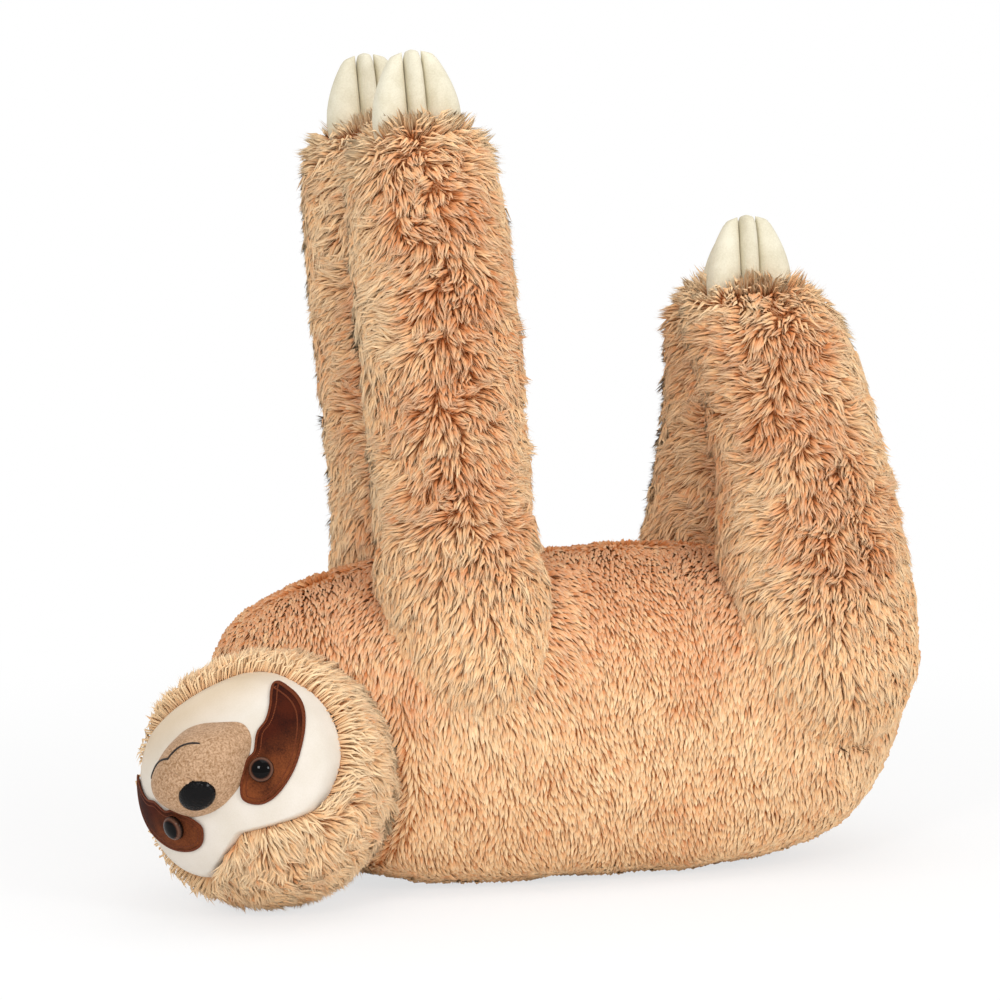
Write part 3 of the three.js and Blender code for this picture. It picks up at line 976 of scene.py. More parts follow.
def furred(
    name: str,
    skin: Piece,
    pile: Pile,
    axis: Field,
    keep: Field,
    growth: Callable[[np.ndarray, np.ndarray, int], Growth],
    cells: Optional[Field] = None,
    edging: Sequence[Grown] = (),
) -> Piece:
    """Grows a skin's pile: locks that gather in tufts, and single strands among them.

    Args:
        name: the coat's name.
        skin: the backing cloth, which is used up.
        pile: how the pile grows.
        axis: gives the point inside the skin that each place faces away from.
        keep: says for each place whether the pile grows there.
        growth: gives what the locks do at roots with outward ways, by a seed.
        cells: gives the places of the locks in rows and columns, if they grow in such.
        edging: more locks, as lock_mesh makes them.

    Returns:
        The coat.
    """
    rng = np.random.default_rng(pile.seed)
    roots, outs = spread_roots(skin, pile.spacing, axis, keep, pile.seed, cells)
    grow = growth(roots, outs, pile.seed + 1)
    tufts = Tufts.over(grow, pile.tuft, pile.seed + 2)
    ends = tufts.gather(grow, pile.pull)
    widths = pile.width * rng.uniform(0.65, 1.25, len(roots))
    locks = lock_mesh(grow, ends, widths, pile.rings, pile.seed + 3, full=pile.full)
    roots, outs = spread_roots(skin, pile.fine, axis, keep, pile.seed + 4)
    grow = growth(roots, outs, pile.seed + 5)
    grow.lengths = grow.lengths * rng.uniform(0.95, 1.2, len(roots))
    ends = tufts.gather(grow, pile.pull * 0.7)
    grow.tints = (grow.tints + 0.06).clip(*TINT_RANGE)
    widths = pile.width * rng.uniform(0.4, 0.7, len(roots))
    strands = lock_mesh(grow, ends, widths, pile.fine_rings, pile.seed + 6)
    return grown_piece(name, skin, [locks, strands, *edging])


def swollen(skin: Piece, pressure: float, cap: float, frames: int = 16) -> None:
    """Swells a sewn skin as its filling does, by a cloth simulation under pressure.

    Args:
        skin: the closed backing cloth.
        pressure: the pressure inside.
        cap: the most that a point may move, in millimetres.
        frames: simulated frames.
    """
    before = places_of(skin.data)
    alone(skin)
    cloth = skin.modifiers.new("filling", "CLOTH")
    cloth.settings.quality = 4
    cloth.settings.mass = 0.3
    cloth.settings.tension_stiffness = 12
    cloth.settings.compression_stiffness = 12
    cloth.settings.use_pressure = True
    cloth.settings.uniform_pressure_force = pressure
    cloth.settings.effector_weights.gravity = 0.0
    cloth.collision_settings.use_collision = False
    cloth.point_cache.frame_end = frames
    for step in range(1, frames + 1):
        bpy.context.scene.frame_set(step)
    bpy.ops.object.modifier_apply(modifier=cloth.name)
    bpy.context.scene.frame_set(1)
    put(skin.data, before + limited(places_of(skin.data) - before, cap))


def moved_out(piece: Piece, by: np.ndarray) -> None:
    """Moves a piece's vertices along their normals by millimetres."""
    put(piece.data, places_of(piece.data) + normals_of(piece.data) * by[:, None])


def cut_by(skin: Piece, tool: Piece, operation: str) -> None:
    """Cuts a skin with another solid, which is used up.

    Args:
        skin: the solid that is cut.
        tool: the solid that cuts it.
        operation: INTERSECT keeps what both hold, DIFFERENCE what only the skin holds.
    """
    apply_modifier(skin, "BOOLEAN", operation=operation, solver="EXACT", object=tool)
    bpy.data.objects.remove(tool)


def welded_copy(node: str) -> Piece:
    """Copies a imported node's solid and joins its corners.

    Args:
        node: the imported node's name.

    Returns:
        The copy.
    """
    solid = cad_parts[node].copy()
    solid.data = solid.data.copy()
    solid.parent = None
    solid.hide_viewport = solid.hide_render = False
    bpy.context.scene.collection.objects.link(solid)
    welded = bmesh.new()
    welded.from_mesh(solid.data)
    bmesh.ops.remove_doubles(welded, verts=welded.verts, dist=1e-6)
    welded.to_mesh(solid.data)
    welded.free()
    return solid


def thickened(skin: Piece, thick: float) -> None:
    """Gives a closed skin its cloth's thickness in millimetres, on its inside."""
    apply_modifier(skin, "SOLIDIFY", thickness=thick * METRE, offset=-1.0)


def soft(node: str) -> None:
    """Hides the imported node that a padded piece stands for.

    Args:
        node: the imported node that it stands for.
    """
    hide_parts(node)


@dataclass
class TorsoForm:
    """The torso: a long blunt bag from throat to rump, its back flattened by its weight."""

    throat_length: float = 281.0
    rump_length: float = 270.0
    half_width: float = 118.0
    half_height: float = 123.5
    rump_lift: float = 45.0
    end_power: float = 3.0
    rump_power: float = 8.0
    belly_power: float = 2.3
    back_power: float = 4.0
    rest_flat: float = 0.5

    def middle(self, x: np.ndarray) -> np.ndarray:
        """Returns the height of the torso's middle line at each x."""
        lift = np.clip(x / self.rump_length, 0, 1.05) ** self.rump_power
        return self.half_height - self.rest_flat + self.rump_lift * lift

    def skin(self, inset: float, around: int, along: int) -> tuple[np.ndarray, list[list[int]]]:
        """The skin drawn in by an inset.

        Args:
            inset: how far it is drawn in.
            around: points round it.
            along: steps from end to end.

        Returns:
            Its vertices and faces.
        """
        share = -np.cos(np.pi * np.arange(1, along) / along)
        x = share * (np.where(share < 0, self.throat_length, self.rump_length) - inset)
        size = (1 - np.abs(share) ** self.end_power) ** (1 / self.end_power)
        turn = 2 * np.pi * np.arange(around) / around
        power = np.where(np.sin(turn) < 0, self.back_power, self.belly_power)
        wide = np.sign(np.cos(turn)) * np.abs(np.cos(turn)) ** (2 / power)
        high = np.sign(np.sin(turn)) * np.abs(np.sin(turn)) ** (2 / power)
        y = (self.half_width - inset) * size[:, None] * wide
        z = self.middle(x)[:, None] + (self.half_height - inset) * size[:, None] * high
        rings = np.stack([np.broadcast_to(x[:, None], y.shape), y, z], 2)
        tips = (inset - self.throat_length, self.rump_length - inset)
        return loft(rings, *(np.array([e, 0, float(self.middle(np.array(e)))]) for e in tips))

    def beyond(self, places: np.ndarray) -> np.ndarray:
        """Measures about how far places lie outside the form.

        Args:
            places: places in the row frame, one row each.

        Returns:
            The distances in millimetres.
        """
        x, y, z = places.T
        up = z - self.middle(x)
        power = np.where(up < 0, self.back_power, self.belly_power)
        across = np.abs(y / self.half_width) ** power + np.abs(up / self.half_height) ** power
        along = np.abs(x) / np.where(x < 0, self.throat_length, self.rump_length)
        size = (across ** (self.end_power / power) + along**self.end_power) ** (1 / self.end_power)
        return (size - 1) * self.half_width


@dataclass
class LimbForm:
    """A limb: a long tapering bag whose round root turns in the torso.

    Its middle line bends towards the head by bow on its way from root to paw.
    """

    x: float
    y: float
    z: float
    length: float
    root_radius: float
    root_half_width: float
    lean: float
    bow: float
    fullness: tuple[tuple[float, float], ...]
    bow_power: float = 3.0

    def bow_at(self, z: np.ndarray) -> np.ndarray:
        """Returns how far the middle line has bent at heights over the root."""
        return self.bow * np.maximum(0, z / self.length) ** self.bow_power

    def placed(self, places: np.ndarray) -> np.ndarray:
        """Takes places from the limb's own frame to the row frame.

        Args:
            places: places in the limb's own frame.

        Returns:
            The same places in the row frame.
        """
        turn = math.radians(self.lean)
        x, y, z = places[..., 0], places[..., 1], places[..., 2]
        along_x = self.x + x * math.cos(turn) + z * math.sin(turn)
        along_z = self.z - x * math.sin(turn) + z * math.cos(turn)
        return np.stack([along_x, self.y + y, along_z], -1)

    def local(self, places: np.ndarray) -> np.ndarray:
        """Takes places from the row frame to the limb's own frame.

        Args:
            places: places in the row frame, one row each.

        Returns:
            The same places in the limb's own frame.
        """
        turn = math.radians(self.lean)
        x, y, z = places[..., 0] - self.x, places[..., 1] - self.y, places[..., 2] - self.z
        across, up = x * math.cos(turn) - z * math.sin(turn), x * math.sin(turn) + z * math.cos(turn)
        return np.stack([across, y, up], -1)

    def straight(self, places: np.ndarray) -> np.ndarray:
        """Takes places to the limb's own frame and takes its bend out.

        Args:
            places: places in the row frame, one row each.

        Returns:
            The places as on a straight limb.
        """
        local = self.local(places)
        local[..., 0] += self.bow_at(local[..., 2])
        return local

    def spin(self, ways: np.ndarray) -> np.ndarray:
        """Returns ways of the limb's own frame in the row frame."""
        return self.placed(ways) - np.array([self.x, self.y, self.z])

    def full(self, along: np.ndarray) -> np.ndarray:
        """Rounds the limb's fullness off, but not at its end.

        Args:
            along: shares of its length.

        Returns:
            How full it is there.
        """
        knots = np.array([*self.fullness, (1.0, 0.0)])
        fine = np.linspace(0, 1, 401)
        rough = np.interp(fine, knots[:, 0], knots[:, 1])
        weight = np.exp(-0.5 * (np.arange(-20, 21) / 8) ** 2)
        padded = np.concatenate([np.full(20, rough[0]), rough, np.zeros(20)])
        smooth = np.convolve(padded, weight / weight.sum(), "valid")
        mix = np.clip((fine - 0.86) / 0.08, 0, 1)
        return np.interp(along, fine, smooth * (1 - mix) + rough * mix)

    def skin(
        self, inset: float, root_inset: float, around: int, along: int
    ) -> tuple[np.ndarray, list[list[int]]]:
        """The skin drawn in by an inset, from root to paw.

        Args:
            inset: how far it is drawn in.
            root_inset: the same at the root.
            around: points round it.
            along: steps from root to paw.

        Returns:
            Its vertices and faces.
        """
        length = self.length - inset
        turns = np.pi / 2 * np.arange(1, 9) / 9
        steps = np.concatenate([np.linspace(0, 0.9, along), 0.9 + 0.095 * np.sin(np.linspace(0.2, 1.5, 8))])
        low = -(self.root_radius - root_inset)
        z = np.concatenate([low * np.cos(turns), length * steps])
        share = np.concatenate([np.sin(turns), self.full(steps)])
        drawn = inset + (root_inset - inset) * np.clip(1 - z / 70, 0, 1)
        angle = 2 * np.pi * np.arange(around) / around
        x = ((self.root_radius - drawn) * share)[:, None] * np.cos(angle) - self.bow_at(z)[:, None]
        y = ((self.root_half_width - drawn) * share)[:, None] * np.sin(angle)
        rings = np.stack([x, y, np.broadcast_to(z[:, None], x.shape)], 2)
        tip = np.array([-float(self.bow_at(np.array(length))), 0, length])
        places, faces = loft(rings, np.array([0, 0, low]), tip)
        return self.placed(places), faces

    def beyond(self, places: np.ndarray) -> np.ndarray:
        """Measures about how far places lie outside the form.

        Args:
            places: places in the row frame, one row each.

        Returns:
            The distances in millimetres.
        """
        x, y, z = self.straight(places).T
        share = np.maximum(self.full(np.clip(z / self.length, 0, 1)), 0.05)
        low = np.minimum(z, 0) / self.root_radius
        across = (x / (self.root_radius * share)) ** 2 + (y / (self.root_half_width * share)) ** 2
        return (np.sqrt(across + low**2) - 1) * self.root_half_width * share


ARM_FULLNESS = (
    (0, 1), (0.1, 1), (0.18, 0.95), (0.26, 0.88), (0.38, 0.88), (0.52, 0.9), (0.68, 0.89),
    (0.8, 0.88), (0.88, 0.83), (0.93, 0.75), (0.97, 0.58), (0.992, 0.33),
)
LEG_FULLNESS = (
    (0, 1), (0.15, 1), (0.3, 0.97), (0.42, 0.89), (0.54, 0.845), (0.7, 0.82), (0.84, 0.785),
    (0.92, 0.7), (0.965, 0.55), (0.99, 0.34),
)


@dataclass
class HeadForm:
    """The head: a ball with its facing. Face places are across (to its left), up and forward."""

    radius: float = 97.0
    middle: tuple[float, float, float] = (-257.0, -85.0, 96.5)
    around: int = 72
    along: int = 48

    def axes(self) -> np.ndarray:
        """Works out how the face is turned.

        Returns:
            The across, up and forward ways as rows.
        """
        across = unit(np.array([-0.66, 0.495, -0.565]))
        forward = np.array([-0.622, -0.782, 0.042])
        forward = unit(forward - across * (forward @ across))
        return np.stack([across, np.cross(forward, across), forward])

    def placed(self, places: np.ndarray) -> np.ndarray:
        """Returns places of the face's frame in the row frame."""
        return places @ self.axes() + np.array(self.middle)

    def local(self, places: np.ndarray) -> np.ndarray:
        """Returns places of the row frame in the face's frame."""
        return (places - np.array(self.middle)) @ self.axes().T

    def ball(self, radius: float) -> tuple[np.ndarray, list[list[int]]]:
        """Forms a ball about the head's middle.

        Args:
            radius: its radius in millimetres.

        Returns:
            Its vertices and faces.
        """
        turn = np.pi * np.arange(1, self.along) / self.along
        angle = 2 * np.pi * np.arange(self.around) / self.around
        ring = np.sin(turn)[:, None] * radius
        x, y = ring * np.cos(angle), ring * np.sin(angle)
        z = np.broadcast_to((-np.cos(turn) * radius)[:, None], x.shape)
        tips = (np.array([0, 0, -radius]), np.array([0, 0, radius]))
        places, faces = loft(np.stack([x, y, z], 2), *tips)
        return self.placed(places), faces

    def beyond(self, places: np.ndarray) -> np.ndarray:
        """Returns how far places lie outside the ball, in millimetres."""
        return np.linalg.norm(places - np.array(self.middle), axis=1) - self.radius


TORSO = TorsoForm()
HEAD = HeadForm()
LEFT_ARM = LimbForm(
    x=-100, y=68, z=178, length=407, root_radius=69, root_half_width=59, lean=-5.0, bow=3.0,
    fullness=ARM_FULLNESS,
)
LEFT_LEG = LimbForm(
    x=160, y=70, z=165, length=288, root_radius=80, root_half_width=62, lean=5.0, bow=15.0,
    fullness=LEG_FULLNESS,
)
LIMBS = {
    "right_arm": replace(LEFT_ARM, y=-68),
    "left_arm": LEFT_ARM,
    "right_leg": replace(LEFT_LEG, x=182, y=-70, length=298, lean=-2.9, bow=54.0),
    "left_leg": LEFT_LEG,
}


def filling(name: str, node: str, slack: float = 2.0, clear: float = 0.0) -> Piece:
    """Fibre fill in the room of a packed stuffing node, lumpy as hand-filled toys are.

    Args:
        name: the piece's name.
        node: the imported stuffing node.
        slack: how far it stays inside that room, in millimetres.
        clear: how far it keeps off the head's ball, in millimetres, where it isn't in the head.

    Returns:
        The filling, which doesn't ride on a body yet.
    """
    piece = welded_copy(node)
    for key in list(piece.keys()):
        del piece[key]
    piece.name = name
    if clear:
        room = mesh_piece("head_room", *HEAD.ball(HEAD.radius + clear), LongPile().material())
        cut_by(piece, room, "DIFFERENCE")
    apply_modifier(piece, "REMESH", mode="VOXEL", voxel_size=0.005 if "muzzle" in name else 0.011)
    apply_modifier(piece, "SMOOTH", factor=0.5, iterations=3)
    moved_out(piece, 1.2 * Drift(26, 8).at(places_of(piece.data)) - slack)
    piece.data.materials.clear()
    piece.data.materials.append(Fabrics.FILLING.value.material())
    piece.data.polygons.foreach_set("use_smooth", np.ones(len(piece.data.polygons), bool))
    soft(node)
    return piece


@dataclass
class Torso:
    """The torso's coat and filling. The short pile lies in rows that hang down its sides."""

    form: TorsoForm = field(default_factory=TorsoForm)
    inset: float = 3.5
    cloth: float = 1.5
    row: float = 4.15
    column: float = 3.15
    fringe: float = 34.0
    around: int = 72
    along: int = 60
    pressure: float = 3.0
    swelling: float = 0.9
    pile: Pile = field(
        default_factory=lambda: Pile(
            fine=3.0, length=10.5, width=3.0, rise=0.34, stand=0.2, spread=0.1, tuft=6.0, pull=0.12,
            rings=(0.0, 0.62), seed=11, full=(0.8, 1.0, 0.95, 0.7),
        )
    )

    def keep(self, places: np.ndarray) -> np.ndarray:
        """Says where the pile grows: not in the seat of the head, nor flat on the ground."""
        return (HEAD.beyond(places) > 1.0) & (places[:, 2] > 4.6)

    def axis(self, places: np.ndarray) -> np.ndarray:
        """Returns the point of the middle line abreast of each place."""
        x = np.clip(places[:, 0], -190, 190)
        return np.stack([x, 0 * x, self.form.middle(x)], 1)

    def near_limb(self, places: np.ndarray) -> tuple[np.ndarray, np.ndarray]:
        """How close places are to a limb's root.

        Args:
            places: places on the torso.

        Returns:
            A share that is 1 at a limb and 0 beyond the fringe, and the ways away from it.
        """
        gaps = np.stack([limb.beyond(places) for limb in LIMBS.values()], 1)
        roots = np.array([[limb.x, limb.y, limb.z] for limb in LIMBS.values()])
        nearest = gaps.argmin(1)
        close = np.clip(1 - gaps.min(1) / self.fringe, 0, 1)
        return close, unit(places - roots[nearest])

    def growth(self, roots: np.ndarray, outs: np.ndarray, seed: int) -> Growth:
        """The way, length and tint of each lock.

        Args:
            roots: the locks' roots.
            outs: the outward ways at them.
            seed: the number that fixes the draw.

        Returns:
            The growth.
        """
        rng = np.random.default_rng(seed)
        x, y, z = roots.T
        angle = np.arctan2(z - self.form.middle(x), np.abs(y) + 1e-6)
        close, away = self.near_limb(roots)
        down = np.stack([0.1 + 0 * x, np.tanh(y / 14) * 0.55, -np.ones_like(x)], 1)
        down[:, 0] += 0.2 * Drift(90, 21).at(roots)
        lean = np.clip(1 - HEAD.beyond(roots) / 14, 0, 1)
        over = unit(np.array(HEAD.middle) - roots) * lean[:, None]
        ways = along_skin(down + away * close[:, None] * 0.9 + over * 2.2, outs)
        swirl = 0.14 * Drift(40, 22).at(roots) + rng.normal(0, self.pile.spread, len(x))
        ways = turned(ways, outs, swirl)
        belly = np.clip((angle - 0.5) / 0.6, 0, 1)
        longer = 1 + 0.15 * belly + 0.5 * close + 0.3 * lean
        lengths = self.pile.length * rng.uniform(0.8, 1.2, len(x)) * longer
        # Painted shade: the pile is tinted darker towards the top of the torso, between the limbs
        shade = np.clip((z - 125) / 110, 0, 1)
        # The pile is also tinted a little darker towards the head end
        left = np.clip((-60 - x) / 160, 0, 1)
        tints = 0.62 - 0.52 * shade - 0.08 * left + 0.08 * Drift(60, 23).at(roots)
        tints = (tints + rng.normal(0, 0.13, len(x))).clip(*TINT_RANGE)
        rises = self.pile.rise + 0.1 * belly + rng.normal(0, 0.05, len(x))
        stands = self.pile.stand + 0.04 * belly + rng.normal(0, 0.05, len(x))
        return Growth(roots, outs, ways, lengths, tints, rises, stands)

    def cells(self, places: np.ndarray) -> np.ndarray:
        """Finds the columns and rows that the flattened pile lies in.

        Args:
            places: places in the row frame, one row each.

        Returns:
            The places counted in columns, rows and halves.
        """
        x, y, z = places.T
        angle = np.arctan2(z - self.form.middle(x), np.abs(y) + 1e-6)
        row = angle * self.form.half_width / self.row + 0.3 * Drift(38, 24).at(places)
        column = x / self.column + 0.3 * Drift(30, 26).at(places) + 0.5 * (np.floor(row) % 2)
        return np.stack([column, row, np.sign(y) + 0.5], 1)

    def half(self, skin: Piece, side: int) -> Piece:
        """Cuts one half out of the torso's skin, where the seam runs down belly and back.

        Args:
            skin: the whole skin, which stays as it is.
            side: -1 for the right half and 1 for the left one.

        Returns:
            The half.
        """
        piece = skin.copy()
        piece.data = skin.data.copy()
        bpy.context.scene.collection.objects.link(piece)
        alone(piece)
        bpy.ops.object.mode_set(mode="EDIT")
        bpy.ops.mesh.select_all(action="SELECT")
        bpy.ops.mesh.bisect(plane_co=(0, 0, 0), plane_no=(0, side, 0), clear_inner=True, use_fill=True)
        bpy.ops.object.mode_set(mode="OBJECT")
        return piece

    def build(self) -> None:
        """Builds the coat's two halves and the filling."""
        places, faces = self.form.skin(self.inset, self.around, self.along)
        skin = mesh_piece("torso_skin", places, faces, LongPile().material())
        moved_out(skin, 1.2 * Drift(85, 25).at(places))
        swollen(skin, self.pressure, self.swelling)
        thickened(skin, self.cloth)
        seat = mesh_piece("head_seat", *HEAD.ball(HEAD.radius + 0.5), LongPile().material())
        cut_by(skin, seat, "DIFFERENCE")
        for side, name in ((-1, "right"), (1, "left")):
            pile = replace(self.pile, seed=self.pile.seed + 8 * side)
            coat = furred(
                f"torso_coat_{name}", self.half(skin, side), pile, self.axis, self.keep, self.growth,
                cells=self.cells,
            )
            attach(coat, "torso")
            soft("torso_fur")
        bpy.data.objects.remove(skin)
        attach(filling("torso_filling", "torso_stuffing", clear=23.0), "torso")


@dataclass
class Limb:
    """One limb: its coat, its filling and three claws."""

    name: str
    inset: float = 9.3
    root_inset: float = 3.5
    cloth: float = 1.2
    around: int = 44
    along: int = 46
    pressure: float = 3.0
    swelling: float = 0.9
    pile: Pile = field(default_factory=Pile)

    @property
    def form(self) -> LimbForm:
        """The limb's form."""
        return LIMBS[self.name]

    def keep(self, places: np.ndarray) -> np.ndarray:
        """Says where the pile grows: not deep in the torso and not under the claws.

        Args:
            places: places in the row frame, one row each.

        Returns:
            Whether it grows at each.
        """
        x, y, z = self.form.straight(places).T
        paw = (np.abs(x) < 32) & (np.abs(y) < 10) & (z > self.form.length - 30)
        return ~paw & (TORSO.beyond(places) > -14.0)

    def axis(self, places: np.ndarray) -> np.ndarray:
        """Returns the point of the limb's middle line abreast of each place."""
        z = np.clip(self.form.local(places)[:, 2], 0, self.form.length - 50)
        return self.form.placed(np.stack([-self.form.bow_at(z), 0 * z, z], 1))

    def growth(self, roots: np.ndarray, outs: np.ndarray, seed: int) -> Growth:
        """The way, length and tint of each lock.

        The pile parts along a wandering line down the front and the back of the limb, and is
        combed from it to the sides and towards the root, where it fans out over the torso.

        Args:
            roots: the locks' roots.
            outs: the outward ways at them.
            seed: the number that fixes the draw.

        Returns:
            The growth.
        """
        rng = np.random.default_rng(seed)
        form = self.form
        x, y, z = form.straight(roots).T
        share = z / form.length
        wander = 12 * Drift(150, 41).at(roots) + 6 * Drift(50, 42).at(roots)
        off = (x - wander) / (form.root_radius * 0.85)
        side = np.tanh(off * 2.2)
        low = np.clip((0.26 - share) / 0.2, 0, 1)
        fall = 0.4 + 0.2 * Drift(120, 43).at(roots) + 0.5 * (1 - np.abs(side)) + 1.2 * low
        raw = np.stack([side, 0.35 * low * np.sign(y), -fall], 1)
        over = np.clip((share - 0.9) / 0.08, 0, 1)
        crown = np.stack([x * 1.1, y * 1.6, np.full_like(x, -18.0)], 1) / 40
        raw = raw * (1 - over)[:, None] + crown * over[:, None]
        ways = along_skin(form.spin(raw), outs)
        parted = np.exp(-((off / 0.42) ** 2)) * (1 - low)
        swirl = (0.4 + 0.7 * parted) * Drift(42, 44).at(roots) + 0.3 * Drift(17, 45).at(roots)
        loose = rng.normal(0, self.pile.spread, len(x)) * (1 - 0.5 * low)
        ways = turned(ways, outs, swirl * (1 - 0.8 * low) + loose)
        round_claws = np.hypot(x / 36, y / 14)
        collar = np.exp(-(((round_claws - 1.1) / 0.4) ** 2)) * (z > form.length - 45)
        ways = ways * (1 - np.maximum(0.75 * collar, 0.45 * parted))[:, None]
        clear = np.clip(TORSO.beyond(roots) / 16, 0, 1)
        lengths = self.pile.length * rng.uniform(0.75, 1.2, len(x)) * (0.85 + 0.15 * clear)
        # Painted light: the pile is tinted paler towards the limb's sides, for the light on its rims
        edge = np.clip(np.abs(off) - 0.35, 0, 0.7)
        # Painted shade: the pile is tinted darker along its parting, where it stands up
        tints = 0.38 + 0.5 * edge - 0.18 * parted + 0.09 * Drift(46, 46).at(roots)
        tints = tints * (1 - low) + 0.64 * low
        tints = tints + 0.25 * collar + 0.35 * over + rng.normal(0, 0.14, len(x))
        rises = self.pile.rise + 0.15 * parted + 0.3 * collar + rng.normal(0, 0.06, len(x))
        stands = self.pile.stand + 0.25 * parted + 0.55 * collar + 0.11 * Drift(15, 47).at(roots)
        stands = (stands + rng.normal(0, 0.06, len(x))) * (0.3 + 0.7 * clear) * (1 - 0.35 * low)
        rises = rises * (0.5 + 0.5 * clear)
        return Growth(roots, outs, ways, lengths, tints.clip(*TINT_RANGE), rises, stands)

    def build(self) -> None:
        """Builds the coat, the filling and the claws."""
        places, faces = self.form.skin(self.inset, self.root_inset, self.around, self.along)
        skin = mesh_piece(f"{self.name}_skin", places, faces, LongPile().material())
        moved_out(skin, 0.9 * Drift(60, 51).at(places))
        swollen(skin, self.pressure, self.swelling)
        thickened(skin, self.cloth)
        cut_by(skin, welded_copy(f"{self.name}_fur"), "INTERSECT")
        pile = replace(self.pile, seed=self.pile.seed + 10 * list(LIMBS).index(self.name))
        coat = furred(f"{self.name}_coat", skin, pile, self.axis, self.keep, self.growth)
        inside = filling(f"{self.name}_filling", f"{self.name}_stuffing")
        low = tuple(self.form.placed(np.array([0.0, 0.0, -45.0])) * METRE)
        high = tuple(self.form.placed(np.array([0.0, 0.0, 62.0])) * METRE)
        for piece in (coat, inside):
            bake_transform(piece)
        soft(f"{self.name}_fur")
        for place in ClawPlace:
            self.claw(place)

    def claw(self, place: "ClawPlace") -> Piece:
        """One stuffed claw, with a seam ridge down each side.

        Args:
            place: which claw it is.

        Returns:
            The claw.
        """
        form = place.value
        along = np.concatenate([np.linspace(0, 0.9, 22), 0.9 + 0.0985 * np.sin(np.linspace(0.2, 1.5, 9))])
        knots = np.array([*form.fullness, (1.0, 0.0)])
        full = np.interp(along, knots[:, 0], knots[:, 1])
        full[1:-1] = np.convolve(full, (0.25, 0.5, 0.25), "valid")
        turn = 2 * np.pi * np.arange(32) / 32
        seam = 1 + 0.03 * np.exp(-((np.abs(np.sin(turn)) / 0.16) ** 2))
        plump = np.abs(np.cos(turn)) ** 0.8 * np.sign(np.cos(turn))
        way = np.sign(form.across)
        drawn = way * form.half_width * np.minimum(0, full - 1)
        middle = form.across - float(self.form.bow_at(np.array(self.form.length - form.root)))
        x = middle + drawn[:, None] + form.half_width * full[:, None] * plump * seam
        y = form.half_depth * full[:, None] * np.sin(turn)
        foot, tip = self.form.length - form.root, self.form.length + form.rise
        z = np.broadcast_to((foot + (tip - foot) * along)[:, None], x.shape)
        pole = middle + way * form.half_width * (form.tip_share - 1)
        ends = (np.array([middle, 0, foot]), np.array([pole, 0, tip]))
        places, faces = loft(np.stack([x, y, z], 2), *ends)
        name = f"{self.name}_claw_{place.name.lower()}"
        piece = mesh_piece(
            f"{name}_cover", self.form.placed(places), faces, Fabrics.CLAW.value.material()
        )
        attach(piece, self.name)
        soft(name)
        return piece


OUTER_CLAW_FULLNESS = (
    (0, 0.97), (0.2, 1), (0.36, 0.97), (0.5, 0.89), (0.62, 0.79), (0.75, 0.65), (0.87, 0.49),
    (0.96, 0.32),
)
MIDDLE_CLAW_FULLNESS = ((0, 0.97), (0.2, 1), (0.5, 0.99), (0.75, 0.93), (0.9, 0.84), (0.98, 0.6))


@dataclass(frozen=True)
class ClawForm:
    """A claw: its place across the paw, its size and how full it is from root to tip."""

    across: float
    half_width: float
    rise: float
    fullness: tuple[tuple[float, float], ...]
    half_depth: float = 12.0
    root: float = 20.0
    tip_share: float = 0.35


class ClawPlace(Enum):
    """The claws of a paw, sewn side by side."""

    FRONT = ClawForm(across=-20.5, half_width=13.25, rise=44.0, fullness=OUTER_CLAW_FULLNESS)
    MIDDLE = ClawForm(across=0.0, half_width=7.3, rise=45.5, fullness=MIDDLE_CLAW_FULLNESS)
    BACK = ClawForm(across=20.5, half_width=13.25, rise=44.0, fullness=OUTER_CLAW_FULLNESS)


